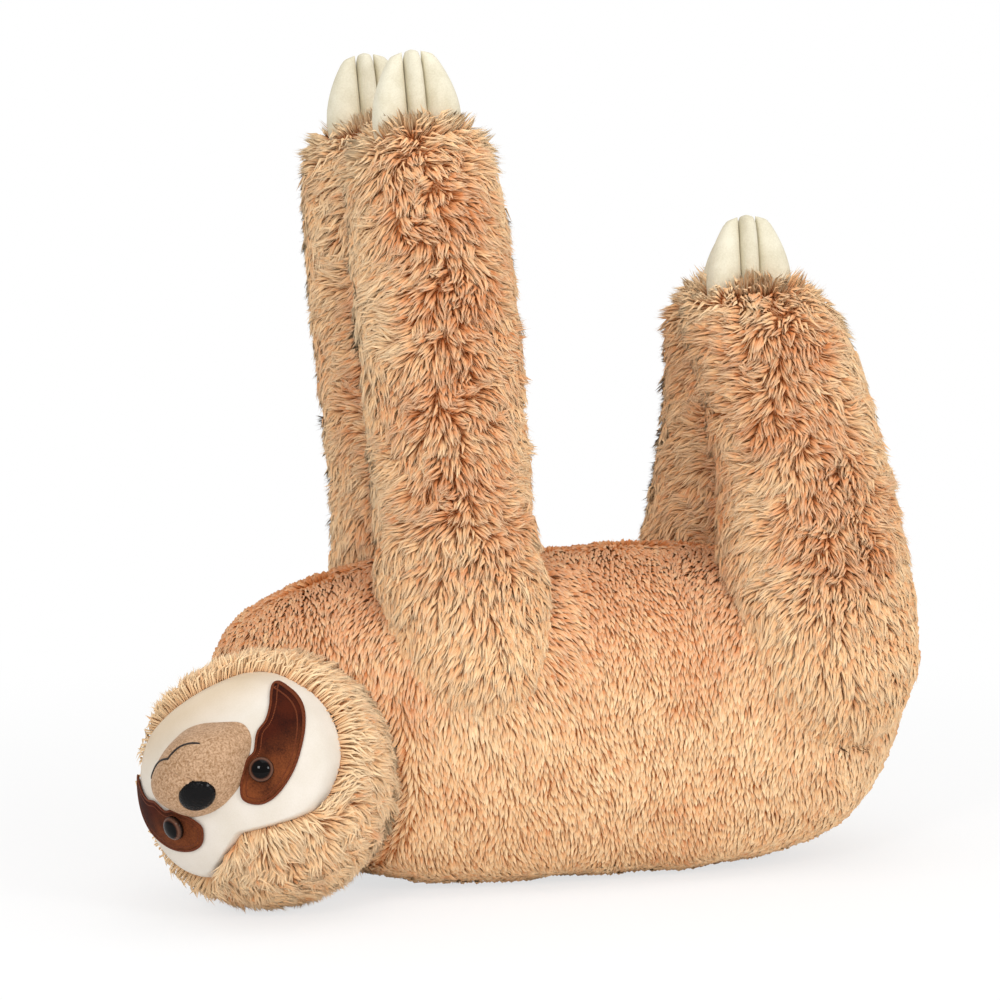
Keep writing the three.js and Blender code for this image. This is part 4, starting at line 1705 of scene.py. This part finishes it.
@dataclass
class Head:
    """The head: its coat, the cream face with all that is sewn on it, and its filling."""

    form: HeadForm = field(default_factory=HeadForm)
    inset: float = 10.5
    cloth: float = 1.0
    pressure: float = 2.0
    swelling: float = 0.8
    panel_radius: float = 94.0
    panel_middle: tuple[float, float] = (0.0, -15.0)
    edge_drop: float = 6.0
    seam_lift: float = 0.3
    panel_half: tuple[tuple[float, float], ...] = (
        (9, 35.5), (30, 42), (50, 44.5), (66, 35), (78, 18), (82.5, -5), (79.5, -26), (71.5, -43),
        (59, -59), (42, -69.5), (20, -73.5),
    )
    patch_half: tuple[tuple[float, float], ...] = (
        (66.5, -49), (74, -37.5), (77, -25), (75.3, -13), (69, 0), (57.5, 13.5), (42, 22.5),
        (29, 23.3), (20.5, 15.5), (22.5, 7.4), (30.6, -2.6), (36.5, -8.2), (43, -11), (49.6, -21.5),
        (57, -26.5), (62, -35),
    )
    muzzle_half: tuple[tuple[float, float], ...] = (
        (10, 8.9), (24, 3.6), (35.5, -7.6), (43, -18), (44.2, -27), (40.5, -35), (29.5, -42),
        (14.5, -49.5),
    )
    muzzle_size: tuple[float, float, float] = (44.0, 33.0, 36.5)
    muzzle_middle: tuple[float, float] = (-20.0, 80.0)
    eye_across: float = 41.4
    eye_rise: float = 3.0
    edge_step: float = 1.5
    pile: Pile = field(
        default_factory=lambda: Pile(
            spacing=3.0, fine=1.9, width=2.7, rise=0.52, stand=0.44, spread=0.24, tuft=9.5, seed=61
        )
    )

    def outline(
        self, half: Sequence[tuple[float, float]], top: float, low: float, steps: int
    ) -> np.ndarray:
        """A symmetrical closed outline.

        Args:
            half: its points on one side.
            top: its height on the middle line.
            low: its lowest point on the middle line.
            steps: curve points between two given ones.

        Returns:
            The curve's points as rows.
        """
        other = [(-a, u) for a, u in reversed(half)]
        return closed_curve([(0, top), *half, (0, low), *other], steps)

    def panel_outline(self) -> np.ndarray:
        """Returns the cream face's outline."""
        return self.outline(self.panel_half, 33.0, -74.5, 8)

    def muzzle_outline(self, steps: int) -> np.ndarray:
        """Returns the muzzle's outline, with steps between two given points."""
        return self.outline(self.muzzle_half, 10.0, -52.3, steps)

    def on_ball(self, flat: np.ndarray, radius: np.ndarray | float) -> np.ndarray:
        """Returns flat face places laid on a ball of a radius about the head's middle."""
        forward = np.sqrt(np.maximum(np.square(radius) - (flat**2).sum(-1), 0))
        return np.concatenate([flat, forward[..., None]], -1)

    def way_out(self, flat: np.ndarray, outline: np.ndarray, middle: tuple[float, float]) -> np.ndarray:
        """Measures how far out flat places lie on the face.

        Args:
            flat: the places.
            outline: a curve round the middle.
            middle: the point within it.

        Returns:
            Shares from 0 at the middle to 1 at the outline.
        """
        ring, at = outline - np.array(middle), flat - np.array(middle)
        angle = np.arctan2(ring[:, 1], ring[:, 0])
        order = np.argsort(angle)
        reach = np.hypot(*ring.T)[order]
        edge = np.interp(np.arctan2(at[:, 1], at[:, 0]), angle[order], reach, period=2 * np.pi)
        return np.hypot(*at.T) / edge

    def keep(self, places: np.ndarray) -> np.ndarray:
        """Says where the pile grows: round the face and not deep in the throat.

        Args:
            places: places in the row frame, one row each.

        Returns:
            Whether it grows at each.
        """
        local = self.form.local(places)
        out = self.way_out(local[:, :2], self.panel_outline(), self.panel_middle)
        return ((out > 1.02) | (local[:, 2] < 0)) & (TORSO.beyond(places) > -26.0)

    def axis(self, places: np.ndarray) -> np.ndarray:
        """Returns the ball's middle for each place."""
        return np.broadcast_to(np.array(self.form.middle), places.shape)

    def growth(self, roots: np.ndarray, outs: np.ndarray, seed: int) -> Growth:
        """The way, length and tint of each lock, combed back from the face all round.

        Args:
            roots: the locks' roots.
            outs: the outward ways at them.
            seed: the number that fixes the draw.

        Returns:
            The growth.
        """
        rng = np.random.default_rng(seed)
        local = self.form.local(roots)
        away = local - np.array([*self.panel_middle, 0.0])
        away[:, 2] = -22.0
        ways = along_skin(away @ self.form.axes(), outs)
        crown = np.clip((local[:, 1] - 15) / 45, 0, 1)
        swirl = (0.25 + 0.7 * crown) * Drift(45, 62).at(roots)
        swirl += (0.2 + 0.6 * crown) * Drift(20, 63).at(roots)
        ways = turned(ways, outs, swirl + rng.normal(0, self.pile.spread, len(roots)))
        front = np.clip((local[:, 2] + 15) / 50, 0, 1)
        lengths = self.pile.length * rng.uniform(0.8, 1.2, len(roots)) * (0.85 + 0.15 * front)
        tints = 0.7 + 0.12 * Drift(40, 64).at(roots) + rng.normal(0, 0.16, len(roots))
        rises = self.pile.rise * (0.8 + 0.3 * front) + rng.normal(0, 0.05, len(roots))
        stands = self.pile.stand + 0.11 * Drift(15, 65).at(roots) + rng.normal(0, 0.05, len(roots))
        rim = np.exp(-(((TORSO.beyond(roots) - 2) / 9) ** 2))
        stands = stands * (1.1 - 0.1 * front + 0.3 * rim)
        return Growth(roots, outs, ways, lengths, tints.clip(*TINT_RANGE), rises, stands)

    def edge_locks(self) -> Grown:
        """Grows dense pale locks that stand along the edge of the face.

        Returns:
            The locks, as lock_mesh makes them.
        """
        rng = np.random.default_rng(75)
        line, middle = self.panel_outline(), np.array(self.panel_middle)
        run = np.concatenate([[0], np.cumsum(np.linalg.norm(np.diff(line, axis=0), axis=1))])
        rows = []
        for out in (1.0, 1.025, 1.05):
            at = np.arange(0, run[-1], self.edge_step) + rng.uniform(0, self.edge_step)
            flat = np.stack([np.interp(at, run, line[:, k]) for k in (0, 1)], 1)
            shares = out + rng.uniform(-0.008, 0.008, (len(at), 1))
            rows.append((flat - middle) * shares + middle)
        flat = np.vstack(rows)
        local = self.on_ball(flat, self.panel_radius - self.edge_drop)
        roots = self.form.placed(local)
        grow = self.growth(roots, unit(roots - np.array(self.form.middle)), 76)
        grow.lengths = rng.uniform(11, 19, len(roots))
        grow.stands = grow.stands + 0.12
        grow.rises = grow.rises + 0.25
        grow.tints = (0.85 + rng.normal(0, 0.12, len(roots))).clip(*TINT_RANGE)
        return lock_mesh(grow, grow.ends(), rng.uniform(1.3, 2.3, len(roots)), self.pile.rings, 77, 0.3)

    def coat(self) -> Piece:
        """Builds the head's coat.

        Returns:
            The coat.
        """
        places, faces = self.form.ball(self.form.radius - self.inset)
        skin = mesh_piece("head_skin", places, faces, LongPile().material())
        swollen(skin, self.pressure, self.swelling)
        thickened(skin, self.cloth)
        cut_by(skin, welded_copy("head_fur"), "INTERSECT")
        return furred(
            "head_coat", skin, self.pile, self.axis, self.keep, self.growth, edging=[self.edge_locks()]
        )

    def cushion(
        self,
        outline: np.ndarray,
        middle: tuple[float, float],
        rings: int,
        surface: Callable[[np.ndarray, np.ndarray], np.ndarray],
        back: Callable[[np.ndarray], np.ndarray],
    ) -> tuple[np.ndarray, list[list[int]]]:
        """A sewn piece over an outline, with a formed front and a plain back.

        Args:
            outline: the curve round it.
            middle: the point that its rings close in on.
            rings: rings from middle to edge.
            surface: gives the front's face places from flat ones and their share of the way out.
            back: gives the back's face places from flat ones.

        Returns:
            Its vertices and faces.
        """
        centre = np.array(middle)
        shares = np.sin(np.pi / 2 * np.arange(1, rings + 1) / rings)
        flat = centre + shares[:, None, None] * (outline - centre)
        front = surface(flat, np.broadcast_to(shares[:, None], flat.shape[:2]))
        behind = back(centre + shares[::-3, None, None] * (outline - centre) * 0.97)
        tip = surface(centre[None, None], np.zeros((1, 1)))[0, 0]
        return loft(np.concatenate([front, behind], 0), tip, back(centre[None, None])[0, 0])

    def sewn(
        self, name: str, shape: tuple[np.ndarray, list[list[int]]], material: bpy.types.Material
    ) -> Piece:
        """Puts a face piece in its place on the head.

        Args:
            name: the piece's name.
            shape: its vertices in the face's frame, and its faces.
            material: its material.

        Returns:
            The piece, its faces turned outwards.
        """
        piece = mesh_piece(name, self.form.placed(shape[0]), shape[1], material)
        made = bmesh.new()
        made.from_mesh(piece.data)
        bmesh.ops.recalc_face_normals(made, faces=made.faces)
        made.to_mesh(piece.data)
        made.free()
        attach(piece, "head")
        return piece

    def muzzle_front(self, flat: np.ndarray, share: np.ndarray) -> np.ndarray:
        """Forms the muzzle's front.

        Args:
            flat: flat face places.
            share: their share of the way out to the edge.

        Returns:
            The places on it.
        """
        wide, high, deep = self.muzzle_size
        drop, forward = self.muzzle_middle
        base = self.on_ball(flat, self.panel_radius + self.seam_lift)[..., 2]
        across, up = flat[..., 0] / wide, (flat[..., 1] - drop) / high
        dome = forward + deep * np.sqrt(np.maximum(1 - across**2 - up**2, 0))
        rise = np.maximum(dome - base, 0) * (1 - share**9) + 3.0 * np.sqrt(np.maximum(1 - share**2, 0))
        return np.concatenate([flat, (base + rise)[..., None]], -1)

    def muzzle_nap(self, flat: np.ndarray, share: np.ndarray) -> np.ndarray:
        """Forms the muzzle's front with the curls of its nap.

        Args:
            flat: flat face places.
            share: their share of the way out to the edge.

        Returns:
            The places on it.
        """
        front = self.muzzle_front(flat, share)
        rows = front.reshape(-1, 3)
        curls = 0.4 * Drift(4.2, 81).at(rows) + 0.4 * Drift(2.6, 82).at(rows)
        front[..., 2] += np.minimum(curls, 0.15).reshape(front.shape[:-1]) * (1 - share**4)
        return front

    def panel_front(self, flat: np.ndarray, share: np.ndarray) -> np.ndarray:
        """Returns the face panel's front, rolled down into its seam at the edge."""
        roll = np.clip((share - 0.94) / 0.06, 0, 1)
        return self.on_ball(flat, self.panel_radius - self.edge_drop * roll**2)

    def face(self) -> None:
        """Builds the cream face, the muzzle, the eye patches and the mouth."""
        shape = self.cushion(
            self.panel_outline(), self.panel_middle, 40, self.panel_front,
            lambda f: self.on_ball(f, self.panel_radius - 7.5),
        )
        panel = self.sewn("cream_face", shape, Fabrics.FACE.value.material())
        # Painted shade: the face goes over to its shade colour towards the chin
        mark(panel, "shaded", np.clip((-38 - shape[0][:, 1]) / 26, 0, 1))
        soft("face_panel")
        shape = self.cushion(
            self.muzzle_outline(18), (0.0, self.muzzle_middle[0]), 60, self.muzzle_nap,
            lambda f: self.on_ball(f, self.panel_radius + self.seam_lift),
        )
        muzzle = self.sewn("muzzle_cover", shape, Fabrics.MUZZLE.value.material())
        soft("muzzle")
        for side, name in ((-1, "right"), (1, "left")):
            line = closed_curve([(side * a, u) for a, u in self.patch_half], 8)
            self.patch(name, line[::side])
        self.mouth()

    def patch(self, name: str, line: np.ndarray) -> None:
        """Builds an eye patch with its stitched edge.

        Args:
            name: right or left.
            line: the patch's outline.
        """
        made = bmesh.new()
        made.faces.new([made.verts.new((*p, 0.0)) for p in line])
        bmesh.ops.triangulate(made, faces=made.faces[:])
        for _ in range(3):
            bmesh.ops.subdivide_edges(made, edges=made.edges[:], cuts=1, use_grid_fill=True)
        bmesh.ops.remove_doubles(made, verts=made.verts, dist=0.02)
        made.verts.index_update()
        top = np.array([v.co[:2] for v in made.verts])
        faces = [[v.index for v in f.verts] for f in made.faces]
        borders = [[v.index for v in e.verts] for e in made.edges if len(e.link_faces) == 1]
        made.free()
        count = len(top)
        layers = [self.on_ball(top, self.panel_radius + lift) for lift in (1.9, self.seam_lift)]
        walls = [[a, b, b + count, a + count] for a, b in borders]
        bottoms = [[i + count for i in reversed(f)] for f in faces]
        shape = (np.vstack(layers), [*faces, *bottoms, *walls])
        piece = self.sewn(f"{name}_patch", shape, Fabrics.PATCH.value.material())
        # Painted shade: the patch goes over to its shade colour over its lower part
        mark(piece, "shaded", np.clip((6 - shape[0][:, 1]) / 22, 0, 1))
        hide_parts(f"{name}_eye_patch")
        for number, (inset, radius) in enumerate(((0.0, 0.95), (3.4, 0.5)), 1):
            edging = self.edging(f"{name}_patch_edging_{number}", line, inset, radius)

    def edging(self, name: str, line: np.ndarray, inset: float, radius: float) -> Piece:
        """A satin-stitched ridge along an outline.

        Args:
            name: the piece's name.
            line: the outline.
            inset: how far inside the outline it runs.
            radius: half its width.

        Returns:
            The edging.
        """
        steps = np.linalg.norm(np.roll(line, -1, 0) - line, axis=1)
        run = np.concatenate([[0], np.cumsum(steps)])
        count = int(run[-1] / 0.45)
        at = np.arange(count) * run[-1] / count
        closed = np.vstack([line, line[:1]])
        path = np.stack([np.interp(at, run, closed[:, k]) for k in (0, 1)], 1)
        tangent = unit(np.roll(path, -1, 0) - np.roll(path, 1, 0))
        across = np.stack([-tangent[:, 1], tangent[:, 0]], 1)
        sides = 8
        rings = []
        for turn in 2 * np.pi * np.arange(sides) / sides:
            flat = path + across * (inset + radius * math.cos(turn))
            rings.append(self.on_ball(flat, self.panel_radius + 1.7 + 0.7 * radius * math.sin(turn)))
        faces = []
        for i in range(count):
            after = (i + 1) % count
            for j in range(sides):
                k = (j + 1) % sides
                faces.append([i * sides + j, i * sides + k, after * sides + k, after * sides + j])
        shape = (np.stack(rings, 1).reshape(-1, 3), faces)
        piece = self.sewn(name, shape, SatinStitch().material())
        mark(piece, "along", np.repeat(at, sides))
        return piece

    def mouth(self) -> None:
        """Builds the mouth: one thread in two shallow lobes along the muzzle."""
        half, below, lobe, smile, thick, shift = 26.0, 36.8, 2.6, 3.2, 0.75, 4.5
        share = np.linspace(-1, 1, 81)
        away = np.abs(share)
        up = (2 * smile + 4 * lobe) * away**2 - (smile + 4 * lobe) * away - below
        flat = np.stack([share * half + shift, up], 1)
        middle = (0.0, self.muzzle_middle[0])
        path = self.muzzle_front(flat, self.way_out(flat, self.muzzle_outline(8), middle))
        tangent = unit(np.gradient(path, axis=0))
        out = unit(path * np.array([0.4, 0.4, 1.0]))
        side = unit(np.cross(tangent, out))
        out = np.cross(side, tangent)
        turn = 2 * np.pi * np.arange(8) / 8
        size = thick * np.sqrt(np.clip(1 - away**24, 0.05, 1))[:, None, None]
        rings = path[:, None] + out[:, None] * 0.35 + size * (
            side[:, None] * np.cos(turn)[None, :, None] + out[:, None] * np.sin(turn)[None, :, None]
        )
        thread = self.sewn("mouth_thread", loft(rings, path[0], path[-1]), StitchThread().material())
        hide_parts("mouth_stitch")

    def build(self) -> None:
        """Builds the head."""
        coat = self.coat()
        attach(coat, "head")
        soft("head_fur")
        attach(filling("head_filling", "head_stuffing", slack=7.0), "head")
        self.face()
        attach(filling("muzzle_filling", "muzzle_stuffing"), "head")
        Fittings(self).build()


@dataclass
class Button:
    """The sizes of a moulded button on a ribbed shank."""

    half_width: float
    half_height: float
    dome: float
    rim: float
    shank: float
    shank_length: float


@dataclass
class Fittings:
    """The safety eyes, the nose and the lock washers, which are carried over."""

    head: Head
    eye: Button = field(
        default_factory=lambda: Button(
            half_width=9.0, half_height=9.0, dome=6.5, rim=1.4, shank=2.3, shank_length=15.0
        )
    )
    nose: Button = field(
        default_factory=lambda: Button(
            half_width=14.0, half_height=12.0, dome=7.0, rim=1.2, shank=2.3, shank_length=9.0
        )
    )
    nose_up: float = -4.0
    shank_steps: int = 8
    rib: float = 0.84

    def moulded(self, name: str, form: Button, place: Matrix, finish: Finish) -> Piece:
        """Models a button by hand: a ball cut flat, rounded at its rim, with a shank drawn out.

        Args:
            name: the piece's name.
            form: the button's sizes.
            place: where its underside goes, its dome along +Z.
            finish: its finish.

        Returns:
            The button.
        """
        bpy.ops.object.select_all(action="DESELECT")
        bpy.ops.mesh.primitive_uv_sphere_add(segments=64, ring_count=40, radius=1.0)
        piece = bpy.context.object
        piece.name = name
        bpy.ops.object.mode_set(mode="EDIT")
        bpy.ops.mesh.select_all(action="SELECT")
        bpy.ops.mesh.bisect(plane_co=(0, 0, 0), plane_no=(0, 0, 1), clear_inner=True, use_fill=True)
        bpy.ops.mesh.select_all(action="SELECT")
        size = Vector((form.half_width, form.half_height, form.dome - form.rim)) * METRE
        bpy.ops.transform.resize(value=size, center_override=(0, 0, 0))
        bpy.ops.transform.translate(value=(0, 0, form.rim * METRE))
        self.pick(piece, lambda n, c: n.z < -0.99)
        bpy.ops.mesh.extrude_region_move(TRANSFORM_OT_translate={"value": (0, 0, -form.rim * METRE)})
        bpy.ops.mesh.bevel(offset=0.5 * METRE, segments=3, affect="EDGES")
        self.pick(piece, lambda n, c: n.z < -0.99 and c.z < 0.01 * METRE)
        inset = (min(form.half_width, form.half_height) - form.shank - 0.6) * METRE
        bpy.ops.mesh.inset(thickness=inset)
        squeeze = (form.half_height * METRE - inset) / (form.half_width * METRE - inset)
        bpy.ops.transform.resize(value=(squeeze, 1.0, 1.0), center_override=(0, 0, 0))
        step = -form.shank_length * METRE / self.shank_steps
        for number in range(self.shank_steps):
            bpy.ops.mesh.extrude_region_move(TRANSFORM_OT_translate={"value": (0, 0, step)})
            scale = self.rib if number % 2 else 1 / self.rib
            if 0 < number < self.shank_steps - 1:
                bpy.ops.transform.resize(value=(scale, scale, 1.0), center_override=(0, 0, 0))
        bpy.ops.transform.resize(value=(0.6, 0.6, 1.0), center_override=(0, 0, 0))
        bpy.ops.mesh.select_all(action="SELECT")
        bpy.ops.mesh.normals_make_consistent(inside=False)
        bpy.ops.object.mode_set(mode="OBJECT")
        places = places_of(piece.data)
        share = np.hypot(places[:, 0] / form.half_width, places[:, 1] / form.half_height)
        mark(piece, "from_middle", share)
        piece.data.materials.append(finish.material())
        alone(piece)
        bpy.ops.object.shade_smooth_by_angle(angle=math.radians(50))
        piece.data.transform(place)
        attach(piece, "head")
        return piece

    @staticmethod
    def pick(piece: Piece, wanted: Callable[[Vector, Vector], bool]) -> None:
        """Selects faces of a piece that is in edit mode.

        Args:
            piece: the piece.
            wanted: tells from a face's normal and middle whether it is picked.
        """
        bpy.ops.mesh.select_mode(type="FACE")
        bpy.ops.mesh.select_all(action="DESELECT")
        made = bmesh.from_edit_mesh(piece.data)
        for side in made.faces:
            side.select_set(wanted(side.normal, side.calc_center_median()))
        bmesh.update_edit_mesh(piece.data)

    def facing(self, seat: np.ndarray, way: np.ndarray) -> Matrix:
        """The place of a fitting on the head.

        Args:
            seat: its underside's middle in the face's frame.
            way: its outward way in the face's frame.

        Returns:
            The place in the row frame, in metres.
        """
        axes = self.head.form.axes()
        out = unit(way @ axes)
        side = unit(axes[0] - out * (axes[0] @ out))
        up = np.cross(out, side)
        middle = self.head.form.placed(seat[None])[0] * METRE
        rows = [[*map(float, r), float(m)] for r, m in zip(np.stack([side, up, out], 1), middle)]
        return Matrix([*rows, [0, 0, 0, 1]])

    def build(self) -> None:
        """Builds the eyes and the nose, and dresses the washers."""
        head = self.head
        for side, name in ((-1, "right"), (1, "left")):
            forward = math.sqrt(head.form.radius**2 - head.eye_across**2 - head.eye_rise**2)
            way = unit(np.array([side * head.eye_across, head.eye_rise, forward]))
            place = self.facing(way * (head.panel_radius + 2.2), way)
            piece = self.moulded(f"{name}_safety_eye", self.eye, place, EyeResin())
            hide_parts(f"{name}_eye")
        _, high, deep = head.muzzle_size
        drop, forward = head.muzzle_middle
        up = self.nose_up - drop
        reach = deep * math.sqrt(1 - (up / high) ** 2)
        way = unit(np.array([0, up / high**2, reach / deep**2]))
        seat = np.array([0, self.nose_up, forward + reach]) - way * 1.3
        piece = self.moulded("nose_button", self.nose, self.facing(seat, way), MouldedNose())
        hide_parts("nose")
        for node in ("right_eye_washer", "left_eye_washer", "nose_washer"):
            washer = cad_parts[node]
            washer.data.materials.clear()
            washer.data.materials.append(NylonWasher().material())


@dataclass
class Studio:
    """The floor, the lamps, the white backdrop and the camera."""

    azimuth: float = -17.0
    elevation: float = 6.4
    distance: float = 2600.0
    target: tuple[float, float, float] = (-53.0, 0.0, 298.0)
    drop: float = 11.55
    lens: float = 121.6
    world_light: float = 0.7

    def build(self) -> None:
        """Builds the stage, the lamps, the world and the camera."""
        bpy.ops.object.select_all(action="DESELECT")
        bpy.ops.mesh.primitive_plane_add(size=14.0, location=(0, 0, -0.0004))
        floor = bpy.context.object
        floor.name = "paper_floor"
        floor.data.materials.append(SweptFloor().material())
        a, e = math.radians(self.azimuth), math.radians(self.elevation)
        right = Vector((math.cos(a), math.sin(a), 0))
        back = Vector((math.sin(a) * math.cos(e), -math.cos(a) * math.cos(e), math.sin(e)))
        up = back.cross(right)
        data = bpy.data.cameras.new("photo_camera")
        data.lens, data.sensor_width = self.lens, 36.0
        data.clip_start, data.clip_end = 0.05, 50.0
        camera = bpy.data.objects.new("photo_camera", data)
        bpy.context.scene.collection.objects.link(camera)
        aim = (Vector(self.target) - up * self.drop) * METRE
        turn = Matrix((right, up, back)).transposed().to_4x4()
        camera.matrix_world = Matrix.Translation(aim + back * self.distance * METRE) @ turn
        bpy.context.scene.camera = camera
        self.lamp("key_lamp", (-1.5, -2.1, 1.3), 0.5, 16.0)
        self.lamp("fill_lamp", (0.9, -2.3, 1.1), 0.5, 14.5)
        self.lamp("top_lamp", (0.1, -0.6, 2.4), 1.8, 15.0)
        world = bpy.data.worlds.new("white_studio")
        bpy.context.scene.world = world
        world.use_nodes = True
        tree = world.node_tree
        tree.nodes.clear()
        white = add_node(tree, "Background", {"Color": (1, 1, 1, 1), "Strength": 1.0})
        light = add_node(tree, "Background", {"Color": (1, 1, 1, 1), "Strength": self.world_light})
        mixed = add_node(tree, "MixShader", links={0: camera_rays(tree), 1: light, 2: white})
        add_node(tree, "OutputWorld", links={"Surface": mixed})
        bpy.context.scene.view_settings.view_transform = "Standard"

    def lamp(self, name: str, place: tuple[float, float, float], size: float, power: float) -> None:
        """Adds a soft lamp that faces the sloth.

        Args:
            name: the lamp's name.
            place: where it hangs, in metres.
            size: its width in metres.
            power: its power in watts.
        """
        data = bpy.data.lights.new(name, "AREA")
        data.shape, data.size, data.energy = "SQUARE", size, power
        lamp = bpy.data.objects.new(name, data)
        bpy.context.scene.collection.objects.link(lamp)
        lamp.location = place
        aim = Vector((-0.05, 0.0, 0.28)) - Vector(place)
        lamp.rotation_euler = aim.to_track_quat("-Z", "Y").to_euler()


def main() -> None:
    """Builds the sub-assemblies in order and reports each."""
    logging.basicConfig(level=logging.INFO, format="%(message)s")
    Studio().build()
    Torso().build()
    LOG.info("torso done")
    Head().build()
    LOG.info("head done")
    for name in LIMBS:
        Limb(name).build()
        LOG.info("%s done", name)


if __name__ == "__main__":
    main()
